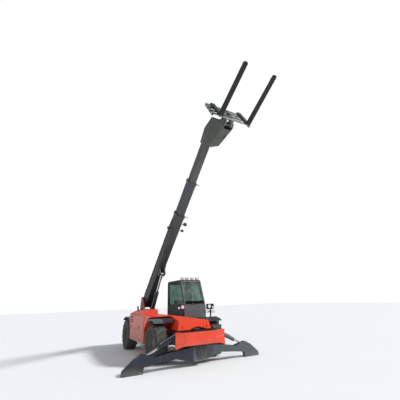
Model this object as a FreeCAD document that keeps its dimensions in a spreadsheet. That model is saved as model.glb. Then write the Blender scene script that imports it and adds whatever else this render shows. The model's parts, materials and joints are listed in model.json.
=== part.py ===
"""Rigid telehandler with a three-stage boom, pallet forks and two crossing front stabilizers.

Millimetres. +Z is up, the front faces -Y, and the cab is on the machine's left, +X.
The origin is on the ground, midway between the axles.
"""
import FreeCAD, Part
import Sketcher
import math
import os
import re

# Driving sizes

SIZES = (
    # name, value, what it sets
    ("wheelbase", 3070, "front axle to rear axle"),
    ("wheel_x", 970, "middle of a wheel from the centre plane"),
    ("tyre_radius", 540, "ground to axle, out to the lugs"),
    ("tyre_width", 400, "over the sidewalls"),
    ("lug_height", 27, "lugs above the tread"),
    ("lug_width", 56, "a lug round the tyre"),
    ("lug_slant", 90, "how far a lug's outer end trails its inner end"),
    ("rim_radius", 262, "bead seat of the rim"),
    ("rim_wall", 12, "thickness of rim and wheel disc"),
    ("rim_dish", 22, "how far the rim narrows towards the disc"),
    ("hub_radius", 125, "hub and its reduction gear"),
    ("hub_reach", 70, "hub past the wheel's middle, outwards"),
    ("spindle_radius", 60, "spindle that carries the wheel"),
    ("kingpin_x", 790, "steering pivot from the centre plane"),
    ("kingpin_radius", 30, "kingpin"),
    ("axle_radius", 95, "axle tube"),
    ("axle_end_x", 690, "end of the axle tube"),
    ("differential_radius", 130, "bulge at the middle of an axle"),
    ("pinion_reach", 210, "pinion housing, from the axle's middle"),
    ("shaft_radius", 36, "drive shafts"),
    ("gearbox_half", 260, "half length of the transfer gearbox"),
    ("boom_x", -170, "middle plane of the boom"),
    ("boom_pivot_back", 455, "boom pivot behind the rear axle"),
    ("boom_pivot_z", 1757, "boom pivot above ground"),
    ("boom_angle", 40.6, "boom above level as it stands"),
    ("boom_wall", 10, "plate of the boom boxes"),
    ("boom_pin_radius", 45, "boom pivot pin"),
    ("outer_width", 290, "first boom section"),
    ("outer_height", 366, "first boom section"),
    ("outer_rear", 230, "first section behind its pivot"),
    ("outer_front", 4600, "first section ahead of its pivot"),
    ("outer_belly", 90, "deeper rear part of the first section"),
    ("outer_belly_front", 2250, "end of the deeper part"),
    ("middle_width", 250, "second boom section"),
    ("middle_height", 326, "second boom section"),
    ("middle_rear", 1630, "second section's rear end"),
    ("middle_front", 5980, "second section's front end"),
    ("inner_width", 210, "third boom section"),
    ("inner_height", 286, "third boom section"),
    ("inner_rear", 3170, "third section's rear end"),
    ("inner_front", 7420, "third section's front end"),
    ("collar_length", 110, "thick collar at the front of a section"),
    ("collar_wall", 14, "collar past the section's faces"),
    ("pad_length", 160, "sliding pads"),
    ("slide_fit", 0.3, "running gap at the sliding pads"),
    ("head_width", 300, "boom head over its side plates"),
    ("head_plate", 20, "side plate of the boom head"),
    ("head_reach", 875, "carriage pivot past the third section's end"),
    ("fork_pivot_drop", 915, "carriage pivot below the boom's middle line"),
    ("fork_pin_radius", 32, "carriage pivot and tilt pins"),
    ("rod_play", 0.1, "running gap of a rod in its barrel"),
    ("pin_play", 0.05, "running gap round pins"),
    ("seat_fit", 0.3, "between pieces that seat on each other"),
    ("barrel_eye", 1.9, "eye of a barrel, in radii of its pin"),
    ("rod_eye", 1.6, "eye of a rod, in radii of its pin"),
    ("fork_angle", 29.9, "forks above level as they stand"),
    ("carriage_right", 600, "carriage's right end from the boom's middle"),
    ("carriage_left", 696, "carriage's left end from the boom's middle"),
    ("carriage_height", 760, "fork carriage"),
    ("carriage_depth", 80, "end plates of the carriage"),
    ("carriage_foot", 40, "carriage's lower edge below its pivot"),
    ("carriage_face", 200, "fork seat ahead of the carriage pivot"),
    ("carriage_bar", 26, "thickness of the carriage's bars"),
    ("fork_right_x", 369, "middle of the right fork from the boom's middle"),
    ("fork_left_x", 592, "middle of the left fork from the boom's middle"),
    ("fork_length", 1478, "blade ahead of the carriage pivot's seat"),
    ("fork_width", 140, "blade and shank"),
    ("fork_thickness", 45, "blade at the heel, and shank"),
    ("fork_tip", 14, "blade at its tip"),
    ("fork_drop", 60, "underside of the forks below the carriage pivot"),
    ("hook_depth", 34, "hook of a fork behind the carriage's top bar"),
    ("tilt_pin_ahead", 80, "tilt cylinder's rear pin past the third section's end"),
    ("tilt_pin_drop", 60, "tilt cylinder's rear pin below the middle line"),
    ("tilt_barrel_radius", 50, "tilt cylinder"),
    ("tilt_barrel_length", 760, "tilt cylinder, from its rear pin"),
    ("tilt_rod_inside", 490, "tilt cylinder's rod inside its barrel as it stands"),
    ("tilt_rod_radius", 26, "tilt cylinder"),
    ("tilt_ear_height", 470, "tilt cylinder's front pin above the carriage pivot"),
    ("tilt_ear_back", 150, "tilt cylinder's front pin behind the fork seat"),
    ("lift_foot_ahead", 390, "lift cylinder's lower pin ahead of the boom pivot"),
    ("lift_foot_z", 950, "lift cylinder's lower pin"),
    ("lift_pin_reach", 1960, "lift cylinder's upper pin along the boom"),
    ("lift_pin_drop", 390, "lift cylinder's upper pin below the middle line"),
    ("lift_barrel_radius", 78, "lift cylinder"),
    ("lift_rod_radius", 42, "lift cylinder"),
    ("lift_barrel_length", 1400, "lift cylinder, from its lower pin"),
    ("lift_rod_inside", 470, "lift cylinder's rod inside its barrel as it stands"),
    ("lift_pin_radius", 35, "lift cylinder's pins"),
    ("rail_gap", 400, "between the frame's rails"),
    ("rail_wall", 40, "thickness of a rail"),
    ("frame_bottom", 670, "underside of the frame"),
    ("frame_top", 950, "top of the rails"),
    ("saddle_depth", 80, "from the stabilizers' wall to the rails"),
    ("frame_tail", 695, "rear of the rails behind the rear axle"),
    ("belly_plate", 20, "plate between the rails"),
    ("tower_top", 1900, "top of the boom towers"),
    ("tower_rounding", 80, "corners at the top of the boom towers"),
    ("stab_wall_ahead", 735, "front face of the wall behind the stabilizers, ahead of the front axle"),
    ("stab_wall", 30, "thickness of that wall"),
    ("stab_pivot_z", 300, "common pivot of the stabilizer legs"),
    ("stab_pin_radius", 40, "stabilizer pivot pin"),
    ("stab_bracket", 20, "bracket in front of the legs"),
    ("stab_bracket_half", 110, "rounded foot of that bracket"),
    ("stab_leg_width", 145, "leg over its side plates"),
    ("stab_leg_plate", 12, "side plates and sole of a leg"),
    ("stab_gap", 12, "between the two legs, and to the walls"),
    ("stab_head_radius", 196, "rounded head of a leg round its pivot"),
    ("stab_reach", 2200, "tip of a foot from the centre plane"),
    ("stab_sole", 530, "length of a foot's sole"),
    ("stab_lug_x", 1610, "stabilizer cylinder's pin on the leg"),
    ("stab_lug_z", 375, "stabilizer cylinder's pin on the leg"),
    ("stab_top_x", 620, "stabilizer cylinder's upper pin"),
    ("stab_top_z", 820, "stabilizer cylinder's upper pin"),
    ("stab_barrel_radius", 55, "stabilizer cylinder"),
    ("stab_rod_radius", 30, "stabilizer cylinder"),
    ("stab_barrel_length", 740, "stabilizer cylinder, from its upper pin"),
    ("stab_eye_radius", 22, "stabilizer cylinder's pins"),
    ("beam_half", 800, "front beam's half length over its folded ends"),
    ("beam_flat_half", 440, "where the two creases of an end meet"),
    ("beam_crease_half", 580, "where the creases run out at the top and bottom"),
    ("beam_top", 862, "front beam"),
    ("beam_mid", 690, "ridge between the two facets of an end"),
    ("beam_bottom", 525, "front beam"),
    ("beam_depth", 60, "front beam ahead of the stabilizers' bracket"),
    ("beam_plate", 15, "front beam's plate"),
    ("beam_end_up", 18, "how far the ends rise past the top"),
    ("beam_end_down", 65, "how far the ends drop past the bottom"),
    ("beam_end_back", 70, "how far the middle of an end runs back"),
    ("nose_half_top", 500, "front body's face at the top"),
    ("nose_half_bottom", 570, "front body's face at the bottom"),
    ("nose_top", 1130, "front body's face"),
    ("nose_bottom", 880, "front body's face"),
    ("nose_slope", 60, "how far the face leans back"),
    ("nose_arch_low", 170, "right end of the cut under the front body's face"),
    ("nose_arch_high", 390, "left end of the cut under the front body's face"),
    ("nose_arch_rise", 70, "height of that cut"),
    ("slot_x", 400, "slots in the front body's face"),
    ("slot_width", 26, "slots in the front body's face"),
    ("deck_over", 35, "front edge of the deck behind the front axle"),
    ("deck_top", 1290, "top of the deck at the engine pod"),
    ("deck_plate", 26, "deck over the front wheel"),
    ("deck_fall", 185, "how far the deck falls towards the cab"),
    ("wheel_clear", 140, "bodywork behind a front wheel"),
    ("rear_clear", 135, "bodywork ahead of a rear wheel"),
    ("fender_clear", 70, "fender above the tyre"),
    ("fender_plate", 12, "fenders"),
    ("fender_curve", 850, "radius of the fenders' arch"),
    ("liner_plate", 50, "depth of the flare under the right deck"),
    ("arch_clear", 165, "arch of the right deck above the tyre"),
    ("fender_half", 400, "half length of the left front fender"),
    ("rear_fender_half", 470, "half length of the rear fenders"),
    ("liner_half", 330, "half length of the liner under the right deck"),
    ("pod_outer_x", -1165, "outer side of the engine pod"),
    ("pod_inner_x", -560, "inner side of the engine pod"),
    ("pod_bottom", 440, "underside of the engine pod"),
    ("pod_wall", 20, "walls of the engine pod and its hood"),
    ("hood_split", 820, "joint between the pod and its hood"),
    ("hood_back", 355, "front of the hood behind the pod's front"),
    ("hood_over", 102, "rear of the hood past the pod"),
    ("hood_edge", 1330, "outer shoulder of the hood"),
    ("hood_top", 1440, "crown of the hood at its inner side"),
    ("hood_crown", 1500, "radius of the hood's crown"),
    ("grille_slot", 26, "slots of the hood's grilles"),
    ("grille_pitch", 62, "from one slot to the next"),
    ("panel_gap", 5, "gap round doors and hoods"),
    ("cab_inner_x", 310, "cab's side towards the boom"),
    ("cab_outer_x", 1165, "cab's outer side"),
    ("cab_wall", 45, "cab walls and pillars"),
    ("cab_floor", 640, "underside of the cab"),
    ("cab_sill", 1560, "lower edge of the windshield"),
    ("cab_lean", 350, "how far the windshield leans back"),
    ("cab_roof", 2450, "top of the cab"),
    ("cab_rear_clear", 195, "cab ahead of the rear tyre"),
    ("cab_round", 90, "rounded corners of the roof"),
    ("glass", 6, "window glass"),
    ("glass_fit", 0.3, "glass in its frame"),
    ("door_ahead", 160, "front edge of the door behind the windshield's foot"),
    ("door_behind", 470, "hinge edge of the door ahead of the cab's rear"),
    ("door_bottom", 740, "door"),
    ("door_top", 2330, "door"),
    ("hinge_reach", 14, "door hinge's axis outside the cab"),
    ("hinge_back", 12, "door hinge's axis behind the door"),
    ("hinge_radius", 12, "door hinge"),
    ("seat_height", 420, "seat's underside above the cab's floor"),
    ("seat_half", 240, "half width of the seat"),
    ("seat_length", 500, "seat cushion"),
    ("cushion", 115, "thickness of the seat's cushions"),
    ("back_height", 620, "backrest"),
    ("wheel_ring", 190, "steering wheel"),
    ("tank_bottom", 430, "underside of the fuel tank"),
    ("tank_inner_x", 620, "fuel tank's inner side"),
    ("tank_outer_x", 1120, "fuel tank's outer side"),
    ("step_depth", 150, "steps cut into the fuel tank's side"),
    ("step_length", 360, "steps cut into the fuel tank's side"),
    ("lamp_radius", 66, "large round lamps"),
    ("lamp_small", 45, "small round lamps"),
    ("lamp_depth", 80, "housing of a round lamp"),
    ("lamp_half", 62, "half width of the square lamps"),
    ("lamp_post", 18, "posts that carry the lamps"),
    ("lamp_wall", 7, "rim round a lamp's lens"),
    ("weight_depth", 330, "counterweight behind the rails"),
    ("weight_half", 950, "half width of the counterweight"),
    ("weight_bottom", 500, "counterweight"),
    ("weight_top", 1060, "counterweight"),
    ("weight_corner", 150, "rounded corners of the counterweight"),
    ("hitch_z", 620, "middle of the tow hitch"),
    ("hitch_half", 75, "half width of the tow hitch"),
    ("hitch_plate", 25, "plates of the tow hitch"),
    ("hitch_gap", 70, "jaw of the tow hitch"),
    ("hitch_reach", 85, "hole of the tow hitch behind the counterweight"),
    ("hitch_bore", 16, "radius of the hole of the tow hitch"),
)

PLACES = {
    # place on the machine, worked out from the sizes
    "front_axle_y": "-wheelbase / 2",
    "rear_axle_y": "wheelbase / 2",
    "stab_wall_y": "front_axle_y - stab_wall_ahead",
    "stab_front_y": "stab_wall_y - 3 * stab_gap - 2 * stab_leg_width",
    "frame_front": "stab_wall_y + stab_wall + saddle_depth",
    "frame_rear": "rear_axle_y + frame_tail",
    "weight_rear": "frame_rear + weight_depth",
    "boom_pivot_y": "rear_axle_y + boom_pivot_back",
    "lift_foot_y": "boom_pivot_y - lift_foot_ahead",
    "fork_pivot_reach": "inner_front + head_reach",
    "tilt_pin_reach": "inner_front + tilt_pin_ahead",
    "deck_front": "front_axle_y + deck_over",
    "deck_rear": "front_axle_y + tyre_radius + wheel_clear",
    "pod_front": "deck_rear",
    "pod_rear": "rear_axle_y - tyre_radius - rear_clear",
    "hood_front": "pod_front + hood_back",
    "hood_rear": "pod_rear + hood_over",
    "cab_front": "deck_rear + panel_gap",
    "cab_brow": "cab_front + cab_lean",
    "cab_rear": "rear_axle_y - tyre_radius - cab_rear_clear",
    "door_front": "cab_front + door_ahead",
    "door_rear": "cab_rear - door_behind",
    "cab_middle_x": "(cab_inner_x + cab_outer_x) / 2",
    "frame_right_x": "boom_x - rail_gap / 2 - rail_wall",
    "frame_left_x": "boom_x + rail_gap / 2 + rail_wall",
}

# Sides of the many-sided bars and rings that stand for round pieces
PIN_SIDES = 16
WHEEL_SIDES = 34

# Lugs in each of a tyre's two rows, an odd number so that the rows stagger
LUGS = 17

doc = FreeCAD.newDocument("Telehandler")
sheet = doc.addObject("Spreadsheet::Sheet", "Sizes")
for row, (name, value, note) in enumerate(SIZES, start=1):
    sheet.set("A%d" % row, name)
    sheet.set("B%d" % row, str(value))
    sheet.set("C%d" % row, note)
    sheet.setAlias("B%d" % row, name)
doc.recompute()
NAMES = {name for name, value, note in SIZES}
PIECES = {}


def formula(text):
    """Writes a formula for the document: a place is written out, and each size is read from the sheet."""

    def known(word):
        name = word.group()
        if name in PLACES:
            return "(%s)" % formula(PLACES[name])
        return "Sizes." + name if name in NAMES else name

    return re.sub(r"[a-z][a-z_]*", known, text)


def size(text):
    """The number that a formula gives now."""
    value = sheet.evalExpression(formula(text))
    return float(getattr(value, "Value", value))


# Ways of making shapes


def piece(label):
    """A new named piece."""
    body = doc.addObject("PartDesign::Body", label)
    body.Label = label
    PIECES[label] = body
    return body


def origin_plane(body, plane):
    return [feature for feature in body.Origin.OriginFeatures if feature.Role == plane + "_Plane"][0]


def outline(body, title, plane, corners, offset):
    """A closed outline, each corner tied to the sheet.

    A corner is (across, up), with a straight edge to the next one, or (across, up, radius, way) with an arc:
    way is 1 where the arc's centre lies left of the path, and -1 where it lies right.
    """
    sketch = body.newObject("Sketcher::SketchObject", title + "_outline")
    sketch.AttachmentSupport = (origin_plane(body, plane), [""])
    sketch.MapMode = "FlatFace"
    sketch.setExpression("AttachmentOffset.Base.z", formula(offset))
    points = [FreeCAD.Vector(size(corner[0]), size(corner[1]), 0) for corner in corners]
    count = len(points)
    edges = []
    ends = []
    for i, corner in enumerate(corners):
        here, there = points[i], points[(i + 1) % count]
        if len(corner) == 2:
            edges.append(Part.LineSegment(here, there))
            ends.append((1, 2))
            continue
        radius, way = size(corner[2]), corner[3]
        chord = there - here
        across = FreeCAD.Vector(-chord.y, chord.x, 0).normalize() * way
        centre = (here + there) * 0.5 + across * math.sqrt(radius ** 2 - (chord.Length / 2) ** 2)
        first, last = (here, there) if way > 0 else (there, here)
        start = math.atan2(first.y - centre.y, first.x - centre.x)
        stop = math.atan2(last.y - centre.y, last.x - centre.x)
        edges.append(Part.ArcOfCircle(Part.Circle(centre, FreeCAD.Vector(0, 0, 1), radius), start, stop))
        ends.append((1, 2) if way > 0 else (2, 1))
    sketch.addGeometry(edges, False)
    rules = []
    for i in range(count):
        after = (i + 1) % count
        rules.append(Sketcher.Constraint("Coincident", i, ends[i][1], after, ends[after][0]))
    ties = []
    for i, corner in enumerate(corners):
        for kind, place, value in (("DistanceX", corner[0], points[i].x), ("DistanceY", corner[1], points[i].y)):
            ties.append((Sketcher.Constraint(kind, -1, 1, i, ends[i][0], value), place))
        if len(corner) > 2:
            ties.append((Sketcher.Constraint("Radius", i, size(corner[2])), corner[2]))
    sketch.addConstraint(rules + [rule for rule, place in ties])
    for i, (rule, place) in enumerate(ties):
        sketch.setExpression("Constraints[%d]" % (count + i), formula(place))
    return sketch


def changed(body, before, cut, title):
    """Stops if a feature that should add or remove material did neither."""
    doc.recompute()
    after = body.Shape.Volume
    if (after >= before) if cut else (after <= before):
        raise RuntimeError("%s in %s changes nothing" % (title, body.Label))


def prism(body, title, plane, corners, low, high, cut=False):
    """Adds or cuts an outline drawn in a plane, from low to high along the axis across that plane."""
    before = body.Shape.Volume if body.Tip else 0
    offset = "-(%s)" % high if plane == "XZ" else low
    sketch = outline(body, title, plane, corners, offset)
    feature = body.newObject("PartDesign::Pocket" if cut else "PartDesign::Pad", title)
    feature.Profile = sketch
    feature.Reversed = cut
    feature.setExpression("Length", formula("(%s) - (%s)" % (high, low)))
    changed(body, before, cut, title)
    return feature


def block(body, title, x_low, x_high, y_low, y_high, z_low, z_high, cut=False):
    """Adds or cuts a plain block."""
    corners = ((x_low, y_low), (x_high, y_low), (x_high, y_high), (x_low, y_high))
    return prism(body, title, "XY", corners, z_low, z_high, cut)


TURNS = {
    # axis along which a round part lies: rotation axis and angle from upright
    "X": ((0, 1, 0), 90),
    "Y": ((1, 0, 0), -90),
    "Z": ((0, 0, 1), 0),
}


def post(body, title, axis, centre, radius, low, high, cut=False, sides=0):
    """Adds or cuts a cylinder along an axis, or a bar of flat sides; centre holds the two other coordinates in order."""
    before = body.Shape.Volume if body.Tip else 0
    kind = "PartDesign::" + ("Subtractive" if cut else "Additive") + ("Prism" if sides else "Cylinder")
    feature = body.newObject(kind, title)
    turn_axis, angle = TURNS[axis]
    feature.Placement = FreeCAD.Placement(FreeCAD.Vector(), FreeCAD.Rotation(FreeCAD.Vector(*turn_axis), angle))
    others = [letter for letter in "xyz" if letter != axis.lower()]
    feature.setExpression("Placement.Base." + axis.lower(), formula(low))
    for letter, place in zip(others, centre):
        feature.setExpression("Placement.Base." + letter, formula(place))
    if sides:
        feature.Polygon = sides
        # a hole's flats keep clear of the round or many-sided piece that turns in it
        reach = "(%s) / cos(%s)" % (radius, 180 / sides) if cut else radius
        feature.setExpression("Circumradius", formula(reach))
    else:
        feature.setExpression("Radius", formula(radius))
    feature.setExpression("Height", formula("(%s) - (%s)" % (high, low)))
    changed(body, before, cut, title)
    return feature


def spun(body, title, corners, cut=False):
    """Adds or cuts an outline of (across, radius) corners turned about the X axis."""
    before = body.Shape.Volume if body.Tip else 0
    sketch = outline(body, title, "XZ", corners, "0")
    feature = body.newObject("PartDesign::Groove" if cut else "PartDesign::Revolution", title)
    feature.Profile = sketch
    feature.ReferenceAxis = (sketch, ["H_Axis"])
    feature.Angle = 360
    changed(body, before, cut, title)
    return feature


def rounded(body, title, radius, wanted):
    """Rounds the edges that a test picks out."""
    doc.recompute()
    base = body.Tip
    names = ["Edge%d" % (i + 1) for i, edge in enumerate(base.Shape.Edges) if wanted(edge)]
    if not names:
        raise RuntimeError("%s in %s finds no edge" % (title, body.Label))
    feature = body.newObject("PartDesign::Fillet", title)
    feature.Base = (base, names)
    feature.setExpression("Radius", formula(radius))
    doc.recompute()
    return feature


def along(edge, axis):
    """True for a straight edge that lies along an axis."""
    if not isinstance(edge.Curve, Part.Line):
        return False
    way = edge.tangentAt(edge.FirstParameter)
    return abs(way.dot(axis)) > 0.999


def settle(body, x, y, z, axis=(1, 0, 0), angle="0"):
    """Places a finished piece in the machine."""
    body.Placement = FreeCAD.Placement(FreeCAD.Vector(), FreeCAD.Rotation(FreeCAD.Vector(*axis), size(angle)))
    body.setExpression("Placement.Rotation.Angle", formula(angle))
    for letter, place in zip("xyz", (x, y, z)):
        body.setExpression("Placement.Base." + letter, formula(place))


ACROSS = FreeCAD.Vector(1, 0, 0)
LENGTHWISE = FreeCAD.Vector(0, 1, 0)
UPRIGHT = FreeCAD.Vector(0, 0, 1)

# Frame


def chassis_frame():
    """Two rails with boom towers at the rear, joined by a belly plate and cross walls."""
    frame = piece("chassis_frame")
    side = (
        ("frame_front", "frame_bottom"),
        ("frame_rear", "frame_bottom"),
        ("frame_rear", "boom_pivot_z - 250"),
        ("boom_pivot_y + 130", "tower_top"),
        ("boom_pivot_y - 130", "tower_top"),
        ("lift_foot_y - 230", "frame_top"),
        ("deck_rear", "frame_top"),
        ("deck_rear", "nose_bottom"),
        ("frame_front", "nose_bottom"),
    )
    prism(frame, "rails", "YZ", side, "frame_right_x", "frame_left_x")
    block(frame, "trench", "boom_x - rail_gap / 2", "boom_x + rail_gap / 2", "frame_front + rail_wall",
          "frame_rear - rail_wall", "frame_bottom + belly_plate", "tower_top + 1", cut=True)
    prism(frame, "tower_gap", "YZ",
          (("frame_rear - rail_wall - 1", "lift_foot_z + 150"), ("frame_rear + 1", "lift_foot_z + 150"),
           ("frame_rear + 1", "tower_top + 1"), ("frame_rear - rail_wall - 1", "tower_top + 1")),
          "boom_x - rail_gap / 2", "boom_x + rail_gap / 2", cut=True)
    post(frame, "pin_hole", "X", ("boom_pivot_y", "boom_pivot_z"), "boom_pin_radius + pin_play",
         "boom_x - rail_gap", "boom_x + rail_gap", cut=True)
    post(frame, "lift_pin_hole", "X", ("lift_foot_y", "lift_foot_z"), "lift_pin_radius + pin_play",
         "boom_x - rail_gap", "boom_x + rail_gap", cut=True)
    rounded(frame, "tower_corners", "tower_rounding",
            lambda edge: along(edge, ACROSS) and edge.CenterOfMass.z > size("tower_top") - 1)
    return frame


def stabilizer_mount():
    """Wall behind the stabilizer legs, with the front bracket and their common pivot pin."""
    mount = piece("stabilizer_mount")
    wall = (
        ("-beam_half + 60", "beam_bottom + 40"),
        ("-2 * stab_bracket_half", "stab_pivot_z - stab_bracket_half"),
        ("2 * stab_bracket_half", "stab_pivot_z - stab_bracket_half"),
        ("beam_half - 60", "beam_bottom + 40"),
        ("beam_half - 60", "nose_bottom - 10"),
        ("-beam_half + 60", "nose_bottom - 10"),
    )
    prism(mount, "rear_wall", "XZ", wall, "stab_wall_y", "stab_wall_y + stab_wall")
    block(mount, "saddle", "frame_right_x - 60", "frame_left_x + 280", "stab_wall_y + stab_wall", "frame_front",
          "frame_bottom", "nose_bottom - 10")
    bracket = (
        ("-stab_bracket_half", "stab_pivot_z", "stab_bracket_half * 1.001", 1),
        ("stab_bracket_half", "stab_pivot_z"),
        ("2 * stab_bracket_half", "beam_bottom + 60"),
        ("-2 * stab_bracket_half", "beam_bottom + 60"),
    )
    prism(mount, "front_bracket", "XZ", bracket, "stab_front_y - stab_bracket", "stab_front_y")
    post(mount, "pivot_pin", "Y", ("0", "stab_pivot_z"), "stab_pin_radius", "stab_front_y - stab_bracket - 15",
         "stab_wall_y + stab_wall + 25", sides=PIN_SIDES)
    for side, sign in (("right", "-"), ("left", "")):
        post(mount, "upper_pin_" + side, "Y", (sign + "stab_top_x", "stab_top_z"), "stab_eye_radius",
             "stab_front_y - 15", "stab_wall_y + stab_wall + 15", sides=PIN_SIDES)
    return mount


def front_beam():
    """Guard plate across the front; a pair of creases folds each end back in an upper and a lower facet."""
    face = "stab_front_y - stab_bracket - beam_depth"
    slope = "beam_end_back / (beam_half - beam_flat_half)"
    crease = "(beam_crease_half - beam_flat_half)"
    top = "beam_top + beam_end_up"
    foot = "beam_bottom - beam_end_down"
    top_back = "%s * (beam_half - beam_flat_half - %s * (%s - beam_mid) / (beam_top - beam_mid))" % (slope, crease, top)
    foot_back = "%s * (beam_half - beam_flat_half - %s * (beam_mid - (%s)) / (beam_mid - beam_bottom))" % (
        slope, crease, foot)
    corners = {}
    for side, sign in (("right", "-"), ("left", "")):
        corners["top_" + side] = (sign + "beam_crease_half", face, "beam_top")
        corners["mid_" + side] = (sign + "beam_flat_half", face, "beam_mid")
        corners["foot_" + side] = (sign + "beam_crease_half", face, "beam_bottom")
        corners["end_top_" + side] = (sign + "beam_half", "%s + %s" % (face, top_back), top)
        corners["end_mid_" + side] = (sign + "beam_half", face + " + beam_end_back", "beam_mid")
        corners["end_foot_" + side] = (sign + "beam_half", "%s + %s" % (face, foot_back), foot)
    panels = [("top_right", "top_left", "mid_left", "foot_left", "foot_right", "mid_right")]
    for side in ("right", "left"):
        panels.append(tuple(name + side for name in ("top_", "end_top_", "end_mid_", "mid_")))
        panels.append(tuple(name + side for name in ("mid_", "end_mid_", "end_foot_", "foot_")))
    beam = folded("front_beam", corners, panels, "beam_plate")
    for side, sign in (("right", "-"), ("left", "")):
        low, high = ("-150", "-150 + beam_plate") if sign else ("150 - beam_plate", "150")
        block(beam, "rib_" + side, low, high, face + " + beam_plate - 1", "stab_front_y - stab_bracket", "beam_bottom",
              "beam_top - 40")
        centre = (sign + "stab_top_x", "stab_top_z")
        post(beam, "boss_" + side, "Y", centre, "stab_eye_radius + 14", face + " + 26", "stab_front_y - 5",
             sides=PIN_SIDES)
        post(beam, "boss_bore_" + side, "Y", centre, "stab_eye_radius + pin_play", "stab_front_y - 16",
             "stab_front_y", cut=True, sides=PIN_SIDES)
    return beam


def front_body():
    """Sloping nose with flared sides, and the deck over the rear half of the right front wheel, one welded shell."""
    nose = piece("front_body")
    front = "stab_wall_y + stab_wall"
    side = (
        (front, "nose_bottom"),
        ("deck_rear - panel_gap", "nose_bottom"),
        ("deck_rear - panel_gap", "deck_top"),
        ("deck_front", "deck_top - 20"),
        (front + " + nose_slope", "nose_top"),
    )
    prism(nose, "middle", "YZ", side, "-nose_half_bottom", "nose_half_bottom")
    flare = (
        ("nose_half_bottom + 1", "nose_bottom - 1"),
        ("nose_half_bottom", "nose_bottom - 1"),
        ("nose_half_top", "nose_top"),
        ("nose_half_top", "deck_top + 1"),
        ("nose_half_bottom + 1", "deck_top + 1"),
    )
    prism(nose, "flare_left", "XZ", flare, front + " - 1", "deck_rear", cut=True)
    prism(nose, "flare_right", "XZ", mirrored(flare), front + " - 1", "deck_rear", cut=True)
    above = DECK_SLOPE + (("nose_half_bottom + 1", "deck_top + 1"), ("-nose_half_top", "deck_top + 1"))
    prism(nose, "slope", "XZ", above, front + " - 1", "deck_rear", cut=True)
    arch = "tyre_radius + arch_clear"
    deck = (
        ("deck_rear - panel_gap", "hood_split"),
        ("deck_rear - panel_gap", "deck_top"),
        ("deck_front", "deck_top - 20"),
        ("deck_front", "tyre_radius + sqrt((%s)^2 - deck_over^2)" % arch, arch, -1),
        ("front_axle_y + sqrt((%s)^2 - (hood_split - tyre_radius)^2)" % arch, "hood_split"),
    )
    prism(nose, "right_deck", "YZ", deck, "pod_outer_x", "-nose_half_top + 1")
    for name, x in (("right", "-slot_x - slot_width"), ("left", "slot_x")):
        block(nose, "slot_" + name, x, x + " + slot_width", front + " - 1", front + " + nose_slope",
              "nose_bottom + 50", "nose_bottom + 120", cut=True)
    bend = "((nose_arch_high + nose_arch_low)^2 / 4 + nose_arch_rise^2) / (2 * nose_arch_rise)"
    foot = (
        ("-nose_arch_low", "nose_bottom"),
        ("nose_arch_high", "nose_bottom", bend, 1),
    )
    prism(nose, "foot_arch", "XZ", foot, front + " - 1", front + " + 300", cut=True)
    return nose


# Axles and wheels


def axle_beams():
    """Front and rear axle housings with their differentials, pinion housings and kingpin forks."""
    axles = piece("axle_beams")
    for end, y, inwards in (("front", "front_axle_y", ""), ("rear", "rear_axle_y", "-")):
        post(axles, "tube_" + end, "X", (y, "tyre_radius"), "axle_radius", "-axle_end_x", "axle_end_x", sides=24)
        post(axles, "differential_" + end, "X", (y, "tyre_radius"), "differential_radius", "-150", "150", sides=24)
        nose = (y + " - pinion_reach", y) if inwards else (y, y + " + pinion_reach")
        post(axles, "pinion_" + end, "Y", ("0", "tyre_radius"), "2 * shaft_radius", nose[0], nose[1], sides=PIN_SIDES)
        block(axles, "saddle_" + end, "boom_x - rail_gap / 2", "boom_x + rail_gap / 2", y + " - 90", y + " + 90",
              "tyre_radius", "frame_bottom")
        for side, sign in (("right", "-"), ("left", "")):
            low, high = ("-kingpin_x - 50", "-axle_end_x") if sign else ("axle_end_x", "kingpin_x + 50")
            block(axles, "fork_%s_%s" % (end, side), low, high, y + " - 60", y + " + 60",
                  "tyre_radius - 150", "tyre_radius + 150")
            low, high = ("-kingpin_x - 51", "-axle_end_x - 30") if sign else ("axle_end_x + 30", "kingpin_x + 51")
            block(axles, "gap_%s_%s" % (end, side), low, high, y + " - 61", y + " + 61",
                  "tyre_radius - 120", "tyre_radius + 120", cut=True)
            post(axles, "kingpin_%s_%s" % (end, side), "Z", (sign + "kingpin_x", y), "kingpin_radius",
                 "tyre_radius - 125", "tyre_radius + 125", sides=PIN_SIDES)
    return axles


CORNERS = (
    # name, side of the centre plane, end of the wheelbase
    ("front_left", "", "-"),
    ("front_right", "-", "-"),
    ("rear_left", "", ""),
    ("rear_right", "-", ""),
)


def knuckle(corner, side, end):
    """Steering knuckle: a barrel round the kingpin and the spindle that carries the wheel."""
    body = piece("knuckle_" + corner)
    post(body, "barrel", "Z", ("0", "0"), "kingpin_radius + 38", "-110", "110", sides=PIN_SIDES)
    post(body, "spindle", "X", ("0", "0"), "spindle_radius", "20", "wheel_x - kingpin_x + spindle_radius", sides=24)
    post(body, "bore", "Z", ("0", "0"), "kingpin_radius + pin_play", "-111", "111", cut=True, sides=PIN_SIDES)
    turn = "180" if side else "0"
    settle(body, side + "kingpin_x", end + "wheelbase / 2", "tyre_radius", (0, 0, 1), turn)
    return body


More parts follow.
